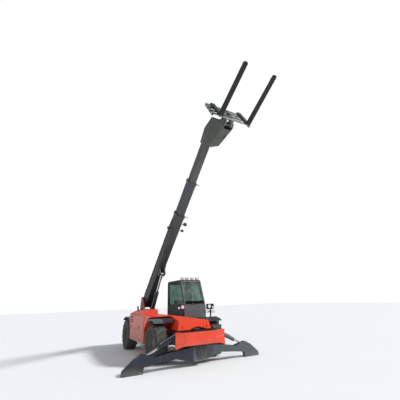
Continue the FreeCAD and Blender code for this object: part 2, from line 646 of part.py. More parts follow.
def rim(corner, side, end):
    """Dished wheel: rim, disc and hub with its reduction gear."""
    half = "(tyre_width / 2 - 40)"
    title = "rim_" + corner
    inner = "rim_radius - rim_wall - rim_dish"
    barrel = ringed(title + "_barrel", (("-" + half, "rim_radius - 1.5"), (half, "rim_radius - 1.5")))
    outside = ringed(title + "_dish", (("2 * rim_wall", inner), (half + " + 1", "rim_radius - rim_wall")))
    inside = ringed(title + "_back", (("-" + half + " - 1", "rim_radius - rim_wall"), ("0", inner)))
    hub = ringed(title + "_hub", (("rim_wall", "hub_radius + 20"), ("hub_reach", "hub_radius - 20")))
    cap = ringed(title + "_cap", (("hub_reach - 1", "hub_radius - 45"), ("hub_reach + 30", "hub_radius - 60")))
    dished = doc.addObject("Part::Cut", title + "_dished")
    dished.Base = barrel
    dished.Tool = outside
    hollow = doc.addObject("Part::Cut", title + "_hollow")
    hollow.Base = dished
    hollow.Tool = inside
    whole = doc.addObject("Part::MultiFuse", title + "_whole")
    whole.Shapes = [hollow, hub, cap]
    body = started(title, whole)
    post(body, "spindle_bore", "X", ("0", "0"), "spindle_radius + pin_play", "-1", "spindle_radius + 1", cut=True, sides=24)
    turn = "180" if side else "0"
    settle(body, side + "wheel_x", end + "wheelbase / 2", "tyre_radius", (0, 0, 1), turn)
    return body


def tyre(corner, side, end):
    """Tyre with a bulging sidewall and two rows of slanted lugs that meet at the middle, one between the next two."""
    half = "tyre_width / 2"
    tread = "tyre_radius - lug_height"
    wall = (
        # across, radius, from the bead to the tread
        ("%s - 42" % half, "rim_radius + 6"),
        ("%s - 6" % half, "rim_radius + 95"),
        (half, "tyre_radius - 78"),
        ("%s - 52" % half, tread),
    )
    title = "tyre_" + corner
    carcass = ringed(title + "_carcass", tuple(("-(%s)" % x, r) for x, r in wall) + wall[::-1])
    body = started(title, carcass)
    post(body, "bead_bore", "X", ("0", "0"), "rim_radius * cos(180 / %d)" % WHEEL_SIDES, "-%s - 1" % half, half + " + 1",
         cut=True, sides=WHEEL_SIDES)
    reach = "(lug_slant + lug_width) / 2"
    crest = "sqrt(tyre_radius^2 - (%s)^2)" % reach
    root = "tyre_radius - 3 * lug_height"
    lug = (
        ("-8", "-(%s)" % reach),
        ("%s - 10" % half, "%s - lug_width" % reach),
        ("%s - 10" % half, reach),
        ("-8", "-(%s) + lug_width" % reach),
    )
    upper = prism(body, "lugs_left", "XY", lug, root, crest)
    around(body, upper, LUGS)
    lower = prism(body, "lugs_right", "XY", mirrored(lug), "-(%s)" % crest, "-(%s)" % root)
    around(body, lower, LUGS)
    # turned until the edge of a lug is the lowest point
    settle(body, side + "wheel_x", end + "wheelbase / 2", "tyre_radius", (1, 0, 0), "asin(%s / tyre_radius)" % reach)
    return body


def fenders():
    """Arched fenders over the left front and both rear wheels, and the deep flare under the right deck."""
    body = piece("fenders")
    inner = "wheel_x - tyre_width / 2 - 20"
    strips = (
        # name, side, axle, inner edge, half length, thickness, what carries it
        ("front_left", "", "front_axle_y", "nose_half_top", "fender_half", "fender_plate", ""),
        ("front_right", "-", "front_axle_y", "nose_half_top", "liner_half", "liner_plate", ""),
        ("rear_left", "", "rear_axle_y", inner, "rear_fender_half", "fender_plate", "frame_left_x"),
        ("rear_right", "-", "rear_axle_y", inner, "rear_fender_half", "fender_plate", "frame_right_x"),
    )
    top = "2 * tyre_radius + fender_clear"
    outer = "wheel_x + tyre_width / 2 - seat_fit"
    for name, side, middle, inner, half, plate, tower in strips:
        low, high = ("-(%s)" % outer, "-(%s)" % inner) if side else (inner, outer)
        under = "%s - fender_curve + sqrt(fender_curve^2 - %s^2)" % (top, half)
        over = "%s - fender_curve + sqrt((fender_curve + %s)^2 - %s^2)" % (top, plate, half)
        arch = (
            ("%s - %s" % (middle, half), under, "fender_curve", -1),
            ("%s + %s" % (middle, half), under),
            ("%s + %s" % (middle, half), over, "fender_curve + " + plate, 1),
            ("%s - %s" % (middle, half), over),
        )
        prism(body, name, "YZ", arch, low, high)
        if tower:
            reach = (low + " + 60", tower) if side else (tower, high + " - 60")
            block(body, "stay_" + name, reach[0], reach[1], middle + " - 30", middle + " + 30", top + " - 40", top)
    nose_side = (
        ("nose_half_top - 5", "nose_bottom - 1"),
        ("nose_half_bottom + seat_fit", "nose_bottom - 1"),
        ("nose_half_top + seat_fit", "nose_top"),
        ("nose_half_top + seat_fit", "deck_top"),
        ("nose_half_top - 5", "deck_top"),
    )
    prism(body, "seat_left", "XZ", nose_side, "-wheelbase", "0", cut=True)
    prism(body, "seat_right", "XZ", mirrored(nose_side), "-wheelbase", "0", cut=True)
    return body


# Engine side


def engine_pod():
    """Lower tub of the engine pod, open at the top."""
    pod = piece("engine_pod")
    side = (
        ("pod_front", "pod_bottom"),
        ("pod_rear", "pod_bottom"),
        ("pod_rear", "hood_split - panel_gap"),
        ("pod_front", "hood_split - panel_gap"),
    )
    prism(pod, "tub", "YZ", side, "pod_outer_x", "pod_inner_x")
    block(pod, "inside", "pod_outer_x + pod_wall", "pod_inner_x - pod_wall", "pod_front + pod_wall", "pod_rear - pod_wall",
          "pod_bottom + pod_wall", "hood_split", cut=True)
    wall = (
        ("pod_front", "hood_split - panel_gap"),
        ("pod_rear", "hood_split - panel_gap"),
        ("hood_rear - pod_wall - panel_gap", "deck_top - 100"),
        ("hood_rear - pod_wall - panel_gap", "hood_top - pod_wall - seat_fit"),
        ("hood_front + pod_wall + panel_gap", "hood_top - pod_wall - seat_fit"),
        ("hood_front - panel_gap", "deck_top + 10"),
        ("pod_front", "deck_top"),
    )
    prism(pod, "inner_wall", "YZ", wall, "pod_inner_x - pod_wall", "pod_inner_x")
    cowl = (
        ("pod_front", "hood_split - panel_gap"),
        ("pod_front + pod_wall", "hood_split - panel_gap"),
        ("pod_front + pod_wall", "deck_top - deck_plate - 90"),
        ("hood_front - panel_gap", "deck_top - deck_plate - 30"),
        ("hood_front - panel_gap", "deck_top + 10"),
        ("pod_front", "deck_top"),
    )
    prism(pod, "front_cowl", "YZ", cowl, "pod_outer_x", "pod_inner_x")
    block(pod, "seat_front", "pod_inner_x", "frame_right_x", "pod_front + 200", "pod_front + 320",
          "frame_bottom + 60", "frame_top - 60")
    block(pod, "seat_rear", "pod_inner_x", "frame_right_x", "pod_rear - 320", "pod_rear - 200",
          "frame_bottom + 60", "frame_top - 60")
    return pod


def engine_block():
    """The engine as one plain block on the tub's floor."""
    body = piece("engine_block")
    block(body, "engine", "pod_outer_x + 110", "pod_inner_x - 90", "pod_front + 420", "pod_rear - 160",
          "pod_bottom + pod_wall", "hood_edge - 170")
    return body


def engine_hood():
    """Hood hinged along its inner top edge: crowned top, rounded shoulder, and grilles at its rear end and side."""
    hood = piece("engine_hood")
    inner = "pod_inner_x - pod_wall - panel_gap"
    section = (
        ("pod_outer_x", "hood_split"),
        (inner, "hood_split"),
        (inner, "hood_top - pod_wall"),
        ("pod_inner_x", "hood_top - pod_wall"),
        ("pod_inner_x", "hood_top"),
        ("pod_inner_x - 150", "hood_top", "hood_crown", 1),
        ("pod_outer_x + 90", "hood_edge", "95", 1),
        ("pod_outer_x", "hood_edge - 80"),
    )
    prism(hood, "shell", "XZ", section, "hood_front", "hood_rear")
    cavity = (
        ("pod_outer_x + pod_wall", "hood_split - 1"),
        (inner + " + 1", "hood_split - 1"),
        (inner + " + 1", "hood_top - pod_wall"),
        ("pod_inner_x - 150", "hood_top - pod_wall"),
        ("pod_outer_x + 90", "hood_edge - pod_wall"),
        ("pod_outer_x + pod_wall", "hood_edge - 90"),
    )
    prism(hood, "cavity", "XZ", cavity, "hood_front + pod_wall", "hood_rear - pod_wall", cut=True)
    heel = (
        ("hood_rear - 45", "hood_split - 1"),
        ("hood_rear + 1", "hood_split - 1"),
        ("hood_rear + 1", "hood_split + 140"),
    )
    prism(hood, "heel_relief", "YZ", heel, "pod_outer_x - 1", "pod_inner_x", cut=True)
    for row in range(5):
        low = "hood_split + 190 + %d * grille_pitch" % row
        block(hood, "rear_slot_%d" % row, "pod_outer_x + 110", "pod_inner_x - 110", "hood_rear - pod_wall - 1",
              "hood_rear + 1", low, low + " + grille_slot", cut=True)
    for row in range(4):
        low = "hood_split + 190 + %d * grille_pitch" % row
        block(hood, "side_slot_%d" % row, "pod_outer_x - 1", "pod_outer_x + pod_wall + 1", "hood_rear - 460",
              "hood_rear - 140", low, low + " + grille_slot", cut=True)
    return hood


# Cab

CAB_SIDE = (
    ("cab_front", "cab_floor"),
    ("cab_rear", "cab_floor"),
    ("cab_rear", "cab_roof - cab_round", "cab_round", 1),
    ("cab_rear - cab_round", "cab_roof"),
    ("cab_brow + cab_round", "cab_roof", "cab_round * 1.3", 1),
    ("cab_brow - cab_round * cab_lean / (cab_roof - cab_sill)", "cab_roof - cab_round"),
    ("cab_front", "cab_sill"),
)


HINGES = (
    # name, underside of the door's half
    ("low", "door_bottom + 250"),
    ("high", "door_top - 250"),
)


def cab_shell():
    """Hollow cab: floor, pillars, lower panels and roof, with its windows and doorway cut."""
    cab = piece("cab_shell")
    prism(cab, "shell", "YZ", CAB_SIDE, "cab_inner_x", "cab_outer_x")
    inside = (
        ("cab_front + cab_wall", "cab_floor + cab_wall"),
        ("cab_rear - cab_wall", "cab_floor + cab_wall"),
        ("cab_rear - cab_wall", "cab_roof - cab_wall"),
        ("cab_brow + cab_wall * 0.7", "cab_roof - cab_wall"),
        ("cab_front + cab_wall", "cab_sill"),
    )
    prism(cab, "inside", "YZ", inside, "cab_inner_x + cab_wall", "cab_outer_x - cab_wall", cut=True)
    windshield = (
        ("cab_front - 1", "cab_sill + 15"),
        ("cab_front + 90", "cab_sill + 15"),
        ("cab_brow + 60", "cab_roof - 90"),
        ("cab_brow - 60", "cab_roof - 90"),
    )
    prism(cab, "windshield_opening", "YZ", windshield, "cab_inner_x + cab_wall", "cab_outer_x - cab_wall", cut=True)
    block(cab, "rear_opening", "cab_inner_x + 90", "cab_outer_x - 90", "cab_rear - 60", "cab_rear + 1",
          "cab_sill - 60", "cab_roof - 130", cut=True)
    right = (
        ("cab_front + 110", "cab_sill + 15"),
        ("cab_rear - 90", "cab_sill + 15"),
        ("cab_rear - 90", "cab_roof - 110"),
        ("cab_brow + 70", "cab_roof - 110"),
    )
    prism(cab, "right_opening", "YZ", right, "cab_inner_x - 1", "cab_inner_x + cab_wall + 1", cut=True)
    doorway = (
        ("door_front", "door_bottom"),
        ("door_rear", "door_bottom"),
        ("door_rear", "door_top"),
        ("door_front + 260", "door_top"),
        ("door_front", "cab_sill + 60"),
    )
    prism(cab, "doorway", "YZ", doorway, "cab_outer_x - cab_wall - 1", "cab_outer_x + 1", cut=True)
    for name, height in HINGES:
        foot = height + " - 40"
        post(cab, "hinge_" + name, "Z", ("cab_outer_x + hinge_reach", "door_rear + hinge_back"), "hinge_radius",
             foot, height + " - 0.3")
        block(cab, "bracket_" + name, "cab_outer_x - 1", "cab_outer_x + hinge_reach", "door_rear + hinge_back",
              "door_rear + hinge_back + 60", foot, height + " - 0.3")
    return cab


def cab_door():
    """Door frame with its window opening, hinged at its rear edge."""
    door = piece("cab_door")
    edge = (
        ("door_front + panel_gap", "door_bottom + panel_gap"),
        ("door_rear - panel_gap", "door_bottom + panel_gap"),
        ("door_rear - panel_gap", "door_top - panel_gap"),
        ("door_front + 260 + panel_gap", "door_top - panel_gap"),
        ("door_front + panel_gap", "cab_sill + 60 - panel_gap"),
    )
    prism(door, "frame", "YZ", edge, "cab_outer_x - cab_wall + 10", "cab_outer_x")
    window = (
        ("door_front + 70", "cab_sill - 300"),
        ("door_rear - 70", "cab_sill - 300"),
        ("door_rear - 70", "door_top - 70"),
        ("door_front + 300", "door_top - 70"),
        ("door_front + 70", "cab_sill + 60"),
    )
    prism(door, "window", "YZ", window, "cab_outer_x - cab_wall", "cab_outer_x + 1", cut=True)
    for name, height in HINGES:
        post(door, "hinge_" + name, "Z", ("cab_outer_x + hinge_reach", "door_rear + hinge_back"), "hinge_radius",
             height, height + " + 90")
        block(door, "leaf_" + name, "cab_outer_x - 1", "cab_outer_x + hinge_reach", "door_rear - 60",
              "door_rear - panel_gap", height, height + " + 90")
        block(door, "strap_" + name, "cab_outer_x + 2", "cab_outer_x + hinge_reach", "door_rear - 60",
              "door_rear + hinge_back", height, height + " + 90")
    return door


def cab_glass():
    """Windshield, right, rear panes, each seated in its opening."""
    panes = piece("cab_glass")
    windshield = (
        ("cab_front + 12", "cab_sill + 15 + glass_fit"),
        ("cab_front + 12 + glass * 1.1", "cab_sill + 15 + glass_fit"),
        ("cab_brow - 36 + glass * 1.1 + 12", "cab_roof - 90 - glass_fit"),
        ("cab_brow - 36 + 12", "cab_roof - 90 - glass_fit"),
    )
    prism(panes, "windshield", "YZ", windshield, "cab_inner_x + cab_wall + glass_fit", "cab_outer_x - cab_wall - glass_fit")
    block(panes, "rear_pane", "cab_inner_x + 90 + glass_fit", "cab_outer_x - 90 - glass_fit",
          "cab_rear - 25", "cab_rear - 25 + glass", "cab_sill - 60 + glass_fit", "cab_roof - 130 - glass_fit")
    right = (
        ("cab_front + 110 + glass_fit", "cab_sill + 15 + glass_fit"),
        ("cab_rear - 90 - glass_fit", "cab_sill + 15 + glass_fit"),
        ("cab_rear - 90 - glass_fit", "cab_roof - 110 - glass_fit"),
        ("cab_brow + 70 + glass_fit", "cab_roof - 110 - glass_fit"),
    )
    prism(panes, "right_pane", "YZ", right, "cab_inner_x + 15", "cab_inner_x + 15 + glass")
    return panes


def door_glass():
    """Pane of the door."""
    pane = piece("door_glass")
    edge = (
        ("door_front + 70 + glass_fit", "cab_sill - 300 + glass_fit"),
        ("door_rear - 70 - glass_fit", "cab_sill - 300 + glass_fit"),
        ("door_rear - 70 - glass_fit", "door_top - 70 - glass_fit"),
        ("door_front + 300", "door_top - 70 - glass_fit"),
        ("door_front + 70 + glass_fit", "cab_sill + 60"),
    )
    prism(pane, "pane", "YZ", edge, "cab_outer_x - 20", "cab_outer_x - 20 + glass")
    return pane


def cab_interior():
    """Seat base, floor mat, steering column and steering wheel."""
    inside = piece("cab_interior")
    floor = "cab_floor + cab_wall"
    block(inside, "seat_base", "cab_middle_x - seat_half + 40", "cab_middle_x + seat_half - 40",
          "cab_rear - 180 - seat_length", "cab_rear - 180", floor, "cab_floor + seat_height")
    block(inside, "floor_mat", "cab_middle_x - 300", "cab_middle_x + 300", "cab_front + 80", "cab_rear - 200 - seat_length",
          floor, floor + " + 12")
    column = (
        ("cab_front + 180", floor),
        ("cab_front + 300", floor),
        ("cab_front + 480", "cab_sill - 190"),
        ("cab_front + 400", "cab_sill - 190"),
    )
    prism(inside, "column", "YZ", column, "cab_middle_x - 70", "cab_middle_x + 70")
    centre = ("cab_middle_x", "cab_front + 440")
    post(inside, "steering_ring", "Z", centre, "wheel_ring", "cab_sill - 191", "cab_sill - 165", sides=WHEEL_SIDES)
    post(inside, "steering_gap", "Z", centre, "wheel_ring - 28", "cab_sill - 190", "cab_sill - 164", cut=True,
         sides=WHEEL_SIDES)
    for name, low, high in (("cross", "wheel_ring - 20", "22"), ("length", "22", "wheel_ring - 20")):
        block(inside, "spokes_" + name, "cab_middle_x - (%s)" % low, "cab_middle_x + (%s)" % low,
              "cab_front + 440 - (%s)" % high, "cab_front + 440 + (%s)" % high, "cab_sill - 191", "cab_sill - 172")
    return inside


def seat_cushions():
    """Seat and backrest."""
    cushions = piece("seat_cushions")
    top = "cab_floor + seat_height"
    rear = "cab_rear - 210"
    block(cushions, "seat", "cab_middle_x - seat_half", "cab_middle_x + seat_half", rear + " - seat_length", rear,
          top, top + " + cushion")
    block(cushions, "back", "cab_middle_x - seat_half + 10", "cab_middle_x + seat_half - 10", rear + " + seat_fit",
          rear + " + cushion", top + " + 80", top + " + 80 + back_height")
    return cushions


# Rear


def counterweight():
    """Cast weight across the rear of the frame, with rounded corners and the jaw of the tow hitch."""
    weight = piece("counterweight")
    plan = (
        ("-weight_half", "frame_rear + 60"),
        ("weight_half", "frame_rear + 60"),
        ("weight_half", "weight_rear - weight_corner", "weight_corner", 1),
        ("weight_half - weight_corner", "weight_rear"),
        ("-weight_half + weight_corner", "weight_rear", "weight_corner", 1),
        ("-weight_half", "weight_rear - weight_corner"),
    )
    prism(weight, "casting", "XY", plan, "weight_bottom", "weight_top")
    block(weight, "foot", "boom_x - rail_gap / 2", "boom_x + rail_gap / 2", "frame_rear", "frame_rear + 61",
          "frame_bottom", "frame_top")
    for name, low, high in (("low", "hitch_z - hitch_gap / 2 - hitch_plate", "hitch_z - hitch_gap / 2"),
                            ("high", "hitch_z + hitch_gap / 2", "hitch_z + hitch_gap / 2 + hitch_plate")):
        jaw = (
            ("-hitch_half", "weight_rear - 1"),
            ("hitch_half", "weight_rear - 1"),
            ("hitch_half", "weight_rear + hitch_reach"),
            ("hitch_half / 2", "weight_rear + hitch_reach + 45"),
            ("-hitch_half / 2", "weight_rear + hitch_reach + 45"),
            ("-hitch_half", "weight_rear + hitch_reach"),
        )
        prism(weight, "jaw_" + name, "XY", jaw, low, high)
    post(weight, "hitch_hole", "Z", ("0", "weight_rear + hitch_reach"), "hitch_bore",
         "hitch_z - hitch_gap", "hitch_z + hitch_gap", cut=True)
    return weight


# Boom


def boom_box(body, width, height, rear, front, bore_width, bore_height, collar):
    """Box section along -Y of the boom's own frame, open at the front, with sliding pads inside its collar."""
    block(body, "box", "-%s / 2" % width, "%s / 2" % width, "-%s" % front, rear, "-%s / 2" % height, "%s / 2" % height)
    if collar:
        block(body, "collar", "-%s / 2 - collar_wall" % width, "%s / 2 + collar_wall" % width,
              "-%s" % front, "-%s + collar_length" % front, "-%s / 2 - collar_wall" % height,
              "%s / 2 + collar_wall" % height)
    block(body, "hollow", "-%s / 2 + boom_wall" % width, "%s / 2 - boom_wall" % width, "-%s + pad_length" % front,
          rear + " - boom_wall", "-%s / 2 + boom_wall" % height, "%s / 2 - boom_wall" % height, cut=True)
    if collar:
        block(body, "mouth", "-%s / 2 - slide_fit" % bore_width, "%s / 2 + slide_fit" % bore_width,
              "-%s - 1" % front, "-%s + pad_length + 1" % front, "-%s / 2 - slide_fit" % bore_height,
              "%s / 2 + slide_fit" % bore_height, cut=True)


def rear_pads(body, width, height, outside_width, outside_height, rear):
    """Sliding pads round the rear end of a section, inside the section that holds it."""
    block(body, "rear_pad", "-%s / 2 + boom_wall + slide_fit" % outside_width, "%s / 2 - boom_wall - slide_fit" % outside_width,
          "-%s - pad_length" % rear, "-%s" % rear, "-%s / 2 + boom_wall + slide_fit" % outside_height,
          "%s / 2 - boom_wall - slide_fit" % outside_height)
    block(body, "rear_bore", "-%s / 2 + boom_wall" % width, "%s / 2 - boom_wall" % width, "-%s - pad_length - 1" % rear,
          "-%s + 1" % rear, "-%s / 2 + boom_wall" % height, "%s / 2 - boom_wall" % height, cut=True)


def in_boom(body):
    """Places a piece drawn in the boom's own frame, its pivot at the origin and its length along -Y."""
    settle(body, "boom_x", "boom_pivot_y", "boom_pivot_z", (-1, 0, 0), "boom_angle")


def boom_outer():
    """First section: pivot tube at the rear, deeper rear part, lift cylinder lugs, collar with sliding pads."""
    body = piece("boom_outer")
    boom_box(body, "outer_width", "outer_height", "outer_rear", "outer_front", "middle_width", "middle_height", True)
    belly = (
        ("outer_rear", "-outer_height / 2 - outer_belly"),
        ("outer_rear", "-outer_height / 2 + 1"),
        ("-outer_belly_front", "-outer_height / 2 + 1"),
        ("-outer_belly_front + 260", "-outer_height / 2 - outer_belly"),
    )
    for side, low, high in (("right", "-outer_width / 2", "-outer_width / 2 + 2 * boom_wall"),
                            ("left", "outer_width / 2 - 2 * boom_wall", "outer_width / 2")):
        prism(body, "belly_" + side, "YZ", belly, low, high)
    lug = (
        ("-lift_pin_reach - 90", "-lift_pin_drop - 55"),
        ("-lift_pin_reach + 90", "-lift_pin_drop - 55"),
        ("-lift_pin_reach + 180", "-outer_height / 2"),
        ("-lift_pin_reach - 180", "-outer_height / 2"),
    )
    for side, low, high in (("right", "-outer_width / 2 + 25", "-outer_width / 2 + 65"),
                            ("left", "outer_width / 2 - 65", "outer_width / 2 - 25")):
        prism(body, "lug_" + side, "YZ", lug, low, high)
        post(body, "boss_" + side, "X", ("-lift_pin_reach", "-lift_pin_drop"), "lift_pin_radius + 15",
             low + " - 12" if side == "right" else high + " - 1", low + " + 1" if side == "right" else high + " + 12")
    post(body, "pivot_tube", "X", ("0", "0"), "boom_pin_radius + 40", "-rail_gap / 2 + 2", "rail_gap / 2 - 2")
    post(body, "pivot_bore", "X", ("0", "0"), "boom_pin_radius + pin_play", "-rail_gap", "rail_gap", cut=True)
    in_boom(body)
    return body


def boom_middle():
    """Second section."""
    body = piece("boom_middle")
    boom_box(body, "middle_width", "middle_height", "-middle_rear", "middle_front", "inner_width", "inner_height", True)
    rear_pads(body, "middle_width", "middle_height", "outer_width", "outer_height", "middle_rear")
    in_boom(body)
    return body


def boom_inner():
    """Third section with the bent-down head that carries the fork carriage."""
    body = piece("boom_inner")
    boom_box(body, "inner_width", "inner_height", "-inner_rear", "inner_front", "", "", False)
    rear_pads(body, "inner_width", "inner_height", "middle_width", "middle_height", "inner_rear")
    head = (
        ("-inner_front + 60", "inner_height / 2 + 7"),
        ("-inner_front + 60", "-inner_height / 2 - 7"),
        ("-inner_front - 140", "-fork_pivot_drop + 310"),
        ("-fork_pivot_reach + 60", "-fork_pivot_drop - 100"),
        ("-fork_pivot_reach - 80", "-fork_pivot_drop - 70"),
        ("-fork_pivot_reach - 110", "-fork_pivot_drop + 60"),
        ("-fork_pivot_reach + 20", "-fork_pivot_drop + 620"),
        ("-fork_pivot_reach + 20", "-30"),
        ("-inner_front - 430", "210"),
    )
    prism(body, "head", "YZ", head, "-head_width / 2", "head_width / 2")
    cavity = (
        ("-inner_front - 5", "inner_height / 2 - 30"),
        ("-inner_front - 5", "-inner_height / 2 - 20"),
        ("-inner_front - 170", "-fork_pivot_drop + 330"),
        ("-fork_pivot_reach + 120", "-fork_pivot_drop - 30"),
        ("-fork_pivot_reach + 120", "-fork_pivot_drop - 150"),
        ("-fork_pivot_reach - 150", "-fork_pivot_drop - 150"),
        ("-fork_pivot_reach - 150", "-fork_pivot_drop + 60"),
        ("-fork_pivot_reach - 20", "-fork_pivot_drop + 620"),
        ("-fork_pivot_reach - 20", "-60"),
        ("-inner_front - 430", "180"),
    )
    prism(body, "head_cavity", "YZ", cavity, "-head_width / 2 + head_plate", "head_width / 2 - head_plate", cut=True)
    post(body, "fork_pin", "X", ("-fork_pivot_reach", "-fork_pivot_drop"), "fork_pin_radius",
         "-head_width / 2 - 15", "head_width / 2 + 15")
    post(body, "tilt_pin", "X", ("-tilt_pin_reach", "-tilt_pin_drop"), "fork_pin_radius",
         "-head_width / 2 - 10", "head_width / 2 + 10")
    in_boom(body)
    return body


FORK_Y = "boom_pivot_y - fork_pivot_reach * cos(boom_angle) - fork_pivot_drop * sin(boom_angle)"
FORK_Z = "boom_pivot_z + fork_pivot_reach * sin(boom_angle) - fork_pivot_drop * cos(boom_angle)"


def in_carriage(body):
    """Places a piece drawn in the carriage's own frame: its pivot at the origin, the forks along -Y."""
    settle(body, "boom_x", FORK_Y, FORK_Z, (-1, 0, 0), "fork_angle")


def fork_carriage():
    """Welded frame with slotted end plates, pairs of cross bars and the ears that hang on the boom head."""
    body = piece("fork_carriage")
    rear = "-carriage_face + carriage_depth"
    top = "carriage_height - carriage_foot"
    end = (
        ("-carriage_face", "-carriage_foot"),
        (rear + " - 25", "-carriage_foot"),
        (rear, "-carriage_foot + 25"),
        (rear, top + " - 25"),
        (rear + " - 25", top),
        ("-carriage_face", top),
    )
    for side, low, high in (("right", "-carriage_right", "-carriage_right + carriage_bar"),
                            ("left", "carriage_left - carriage_bar", "carriage_left")):
        prism(body, "end_" + side, "YZ", end, low, high)
    for number, low in enumerate(("60", "290", "500")):
        block(body, "end_slot_%d" % number, "-carriage_right - 1", "carriage_left + 1", "-carriage_face + carriage_bar + 8",
              rear + " - 14", low, low + " + 130", cut=True)
    bars = (
        # name, lower edge, height
        ("foot", "-carriage_foot", "36"),
        ("toe", "30", "24"),
        ("low", "carriage_height * 0.24", "24"),
        ("low_pair", "carriage_height * 0.31", "24"),
        ("middle", "carriage_height * 0.51", "24"),
        ("middle_pair", "carriage_height * 0.58", "24"),
        ("high", "carriage_height * 0.76", "24"),
        ("top", top + " - 50", "50"),
    )
    for name, low, height in bars:
        block(body, "bar_" + name, "-carriage_right + 1", "carriage_left - 1",
              "-carriage_face", "-carriage_face + carriage_bar", low, "%s + %s" % (low, height))
    ear = (
        ("-carriage_face + 10", "-carriage_foot"),
        ("30", "-55"),
        ("60", "0"),
        ("30", "60"),
        ("-carriage_face + 70", "tilt_ear_height - 60"),
        ("-carriage_face + tilt_ear_back + 45", "tilt_ear_height - 40"),
        ("-carriage_face + tilt_ear_back + 45", "tilt_ear_height + 45"),
        ("-carriage_face + 10", "tilt_ear_height + 60"),
    )
    for side, sign in (("right", "-"), ("left", "")):
        inner = "head_width / 2 - head_plate - 8"
        low, high = ("-(%s)" % inner, "-(%s) + 26" % inner) if sign else ("%s - 26" % inner, inner)
        prism(body, "ear_" + side, "YZ", ear, low, high)
    post(body, "pivot_bore", "X", ("0", "0"), "fork_pin_radius + pin_play", "-head_width", "head_width", cut=True,
         sides=PIN_SIDES)
    in_carriage(body)
    return body


def forks():
    """Pair of forks, slid to unequal places: tapered blade, rounded tip, upright shank and the hook it hangs by."""
    body = piece("forks")
    top = "carriage_height - carriage_foot"
    hook = "-carriage_face + carriage_bar + hook_depth"
    side = (
        ("-carriage_face - seat_fit", "-fork_drop"),
        ("-carriage_face - seat_fit", top + " + seat_fit"),
        ("-carriage_face + carriage_bar + seat_fit", top + " + seat_fit"),
        ("-carriage_face + carriage_bar + seat_fit", top + " - 40"),
        (hook, top + " - 40"),
        (hook, top + " + 30"),
        ("-carriage_face - fork_thickness", top + " + 30"),
        ("-carriage_face - fork_thickness", "-fork_drop + fork_thickness"),
        ("-carriage_face - fork_length", "-fork_drop + fork_tip"),
        ("-carriage_face - fork_length", "-fork_drop"),
    )
    for name, middle in (("right", "-fork_right_x"), ("left", "fork_left_x")):
        prism(body, "fork_" + name, "YZ", side, middle + " - fork_width / 2", middle + " + fork_width / 2")
    rounded(body, "tips", "fork_width * 0.4",
            lambda edge: along(edge, UPRIGHT) and edge.CenterOfMass.y < size("-carriage_face - fork_length") + 1)
    in_carriage(body)
    return body


# Cylinders


def span(start, end):
    """Length between two (across, up) points given as formulas."""
    return "sqrt((%s - (%s))^2 + (%s - (%s))^2)" % (end[0], start[0], end[1], start[1])


def barrel(label, eye_half, pin_radius, radius, length, rod_radius):
    """Cylinder barrel along +Y of its own frame, its eye at the origin."""
    body = piece(label)
    post(body, "eye", "X", ("0", "0"), pin_radius + " * barrel_eye", "-" + eye_half, eye_half, sides=24)
    post(body, "tube", "Y", ("0", "0"), radius, pin_radius, length)
    post(body, "eye_bore", "X", ("0", "0"), pin_radius + " + pin_play", "-%s - %s" % (eye_half, radius),
         "%s + %s" % (eye_half, radius), cut=True, sides=PIN_SIDES)
    post(body, "rod_bore", "Y", ("0", "0"), rod_radius + " + rod_play", "2 * %s + 12" % pin_radius, length + " + 1", cut=True)
    return body


def rod(label, eye_half, pin_half, pin_radius, radius, start, length):
    """Cylinder rod along +Y of the barrel's frame; its eye at the far end holds a short cross pin."""
    body = piece(label)
    post(body, "stem", "Y", ("0", "0"), radius, start, length)
    post(body, "eye", "X", (length, "0"), pin_radius + " * rod_eye", "-" + eye_half, eye_half, sides=24)
    post(body, "cross_pin", "X", (length, "0"), pin_radius, "-" + pin_half, pin_half, sides=PIN_SIDES)
    return body


LIFT_TOP = (
    "boom_pivot_y - lift_pin_reach * cos(boom_angle) - lift_pin_drop * sin(boom_angle)",
    "boom_pivot_z + lift_pin_reach * sin(boom_angle) - lift_pin_drop * cos(boom_angle)",
)
LIFT_FOOT = ("lift_foot_y", "lift_foot_z")
TILT_REAR = (
    "boom_pivot_y - tilt_pin_reach * cos(boom_angle) - tilt_pin_drop * sin(boom_angle)",
    "boom_pivot_z + tilt_pin_reach * sin(boom_angle) - tilt_pin_drop * cos(boom_angle)",
)
TILT_FRONT = (
    "(%s) - (carriage_face - tilt_ear_back) * cos(fork_angle) + tilt_ear_height * sin(fork_angle)" % FORK_Y,
    "(%s) + (carriage_face - tilt_ear_back) * sin(fork_angle) + tilt_ear_height * cos(fork_angle)" % FORK_Z,
)


def lift_cylinder():
    """Lift cylinder from the frame up to the lugs under the first boom section."""
    angle = "atan2(%s - (%s); %s - (%s))" % (LIFT_TOP[1], LIFT_FOOT[1], LIFT_TOP[0], LIFT_FOOT[0])
    tube = barrel("lift_barrel", "60", "lift_pin_radius", "lift_barrel_radius", "lift_barrel_length", "lift_rod_radius")
    settle(tube, "boom_x", LIFT_FOOT[0], LIFT_FOOT[1], (1, 0, 0), angle)
    stem = rod("lift_rod", "55", "76", "lift_pin_radius", "lift_rod_radius", "lift_barrel_length - lift_rod_inside",
               span(LIFT_FOOT, LIFT_TOP))
    settle(stem, "boom_x", LIFT_FOOT[0], LIFT_FOOT[1], (1, 0, 0), angle)


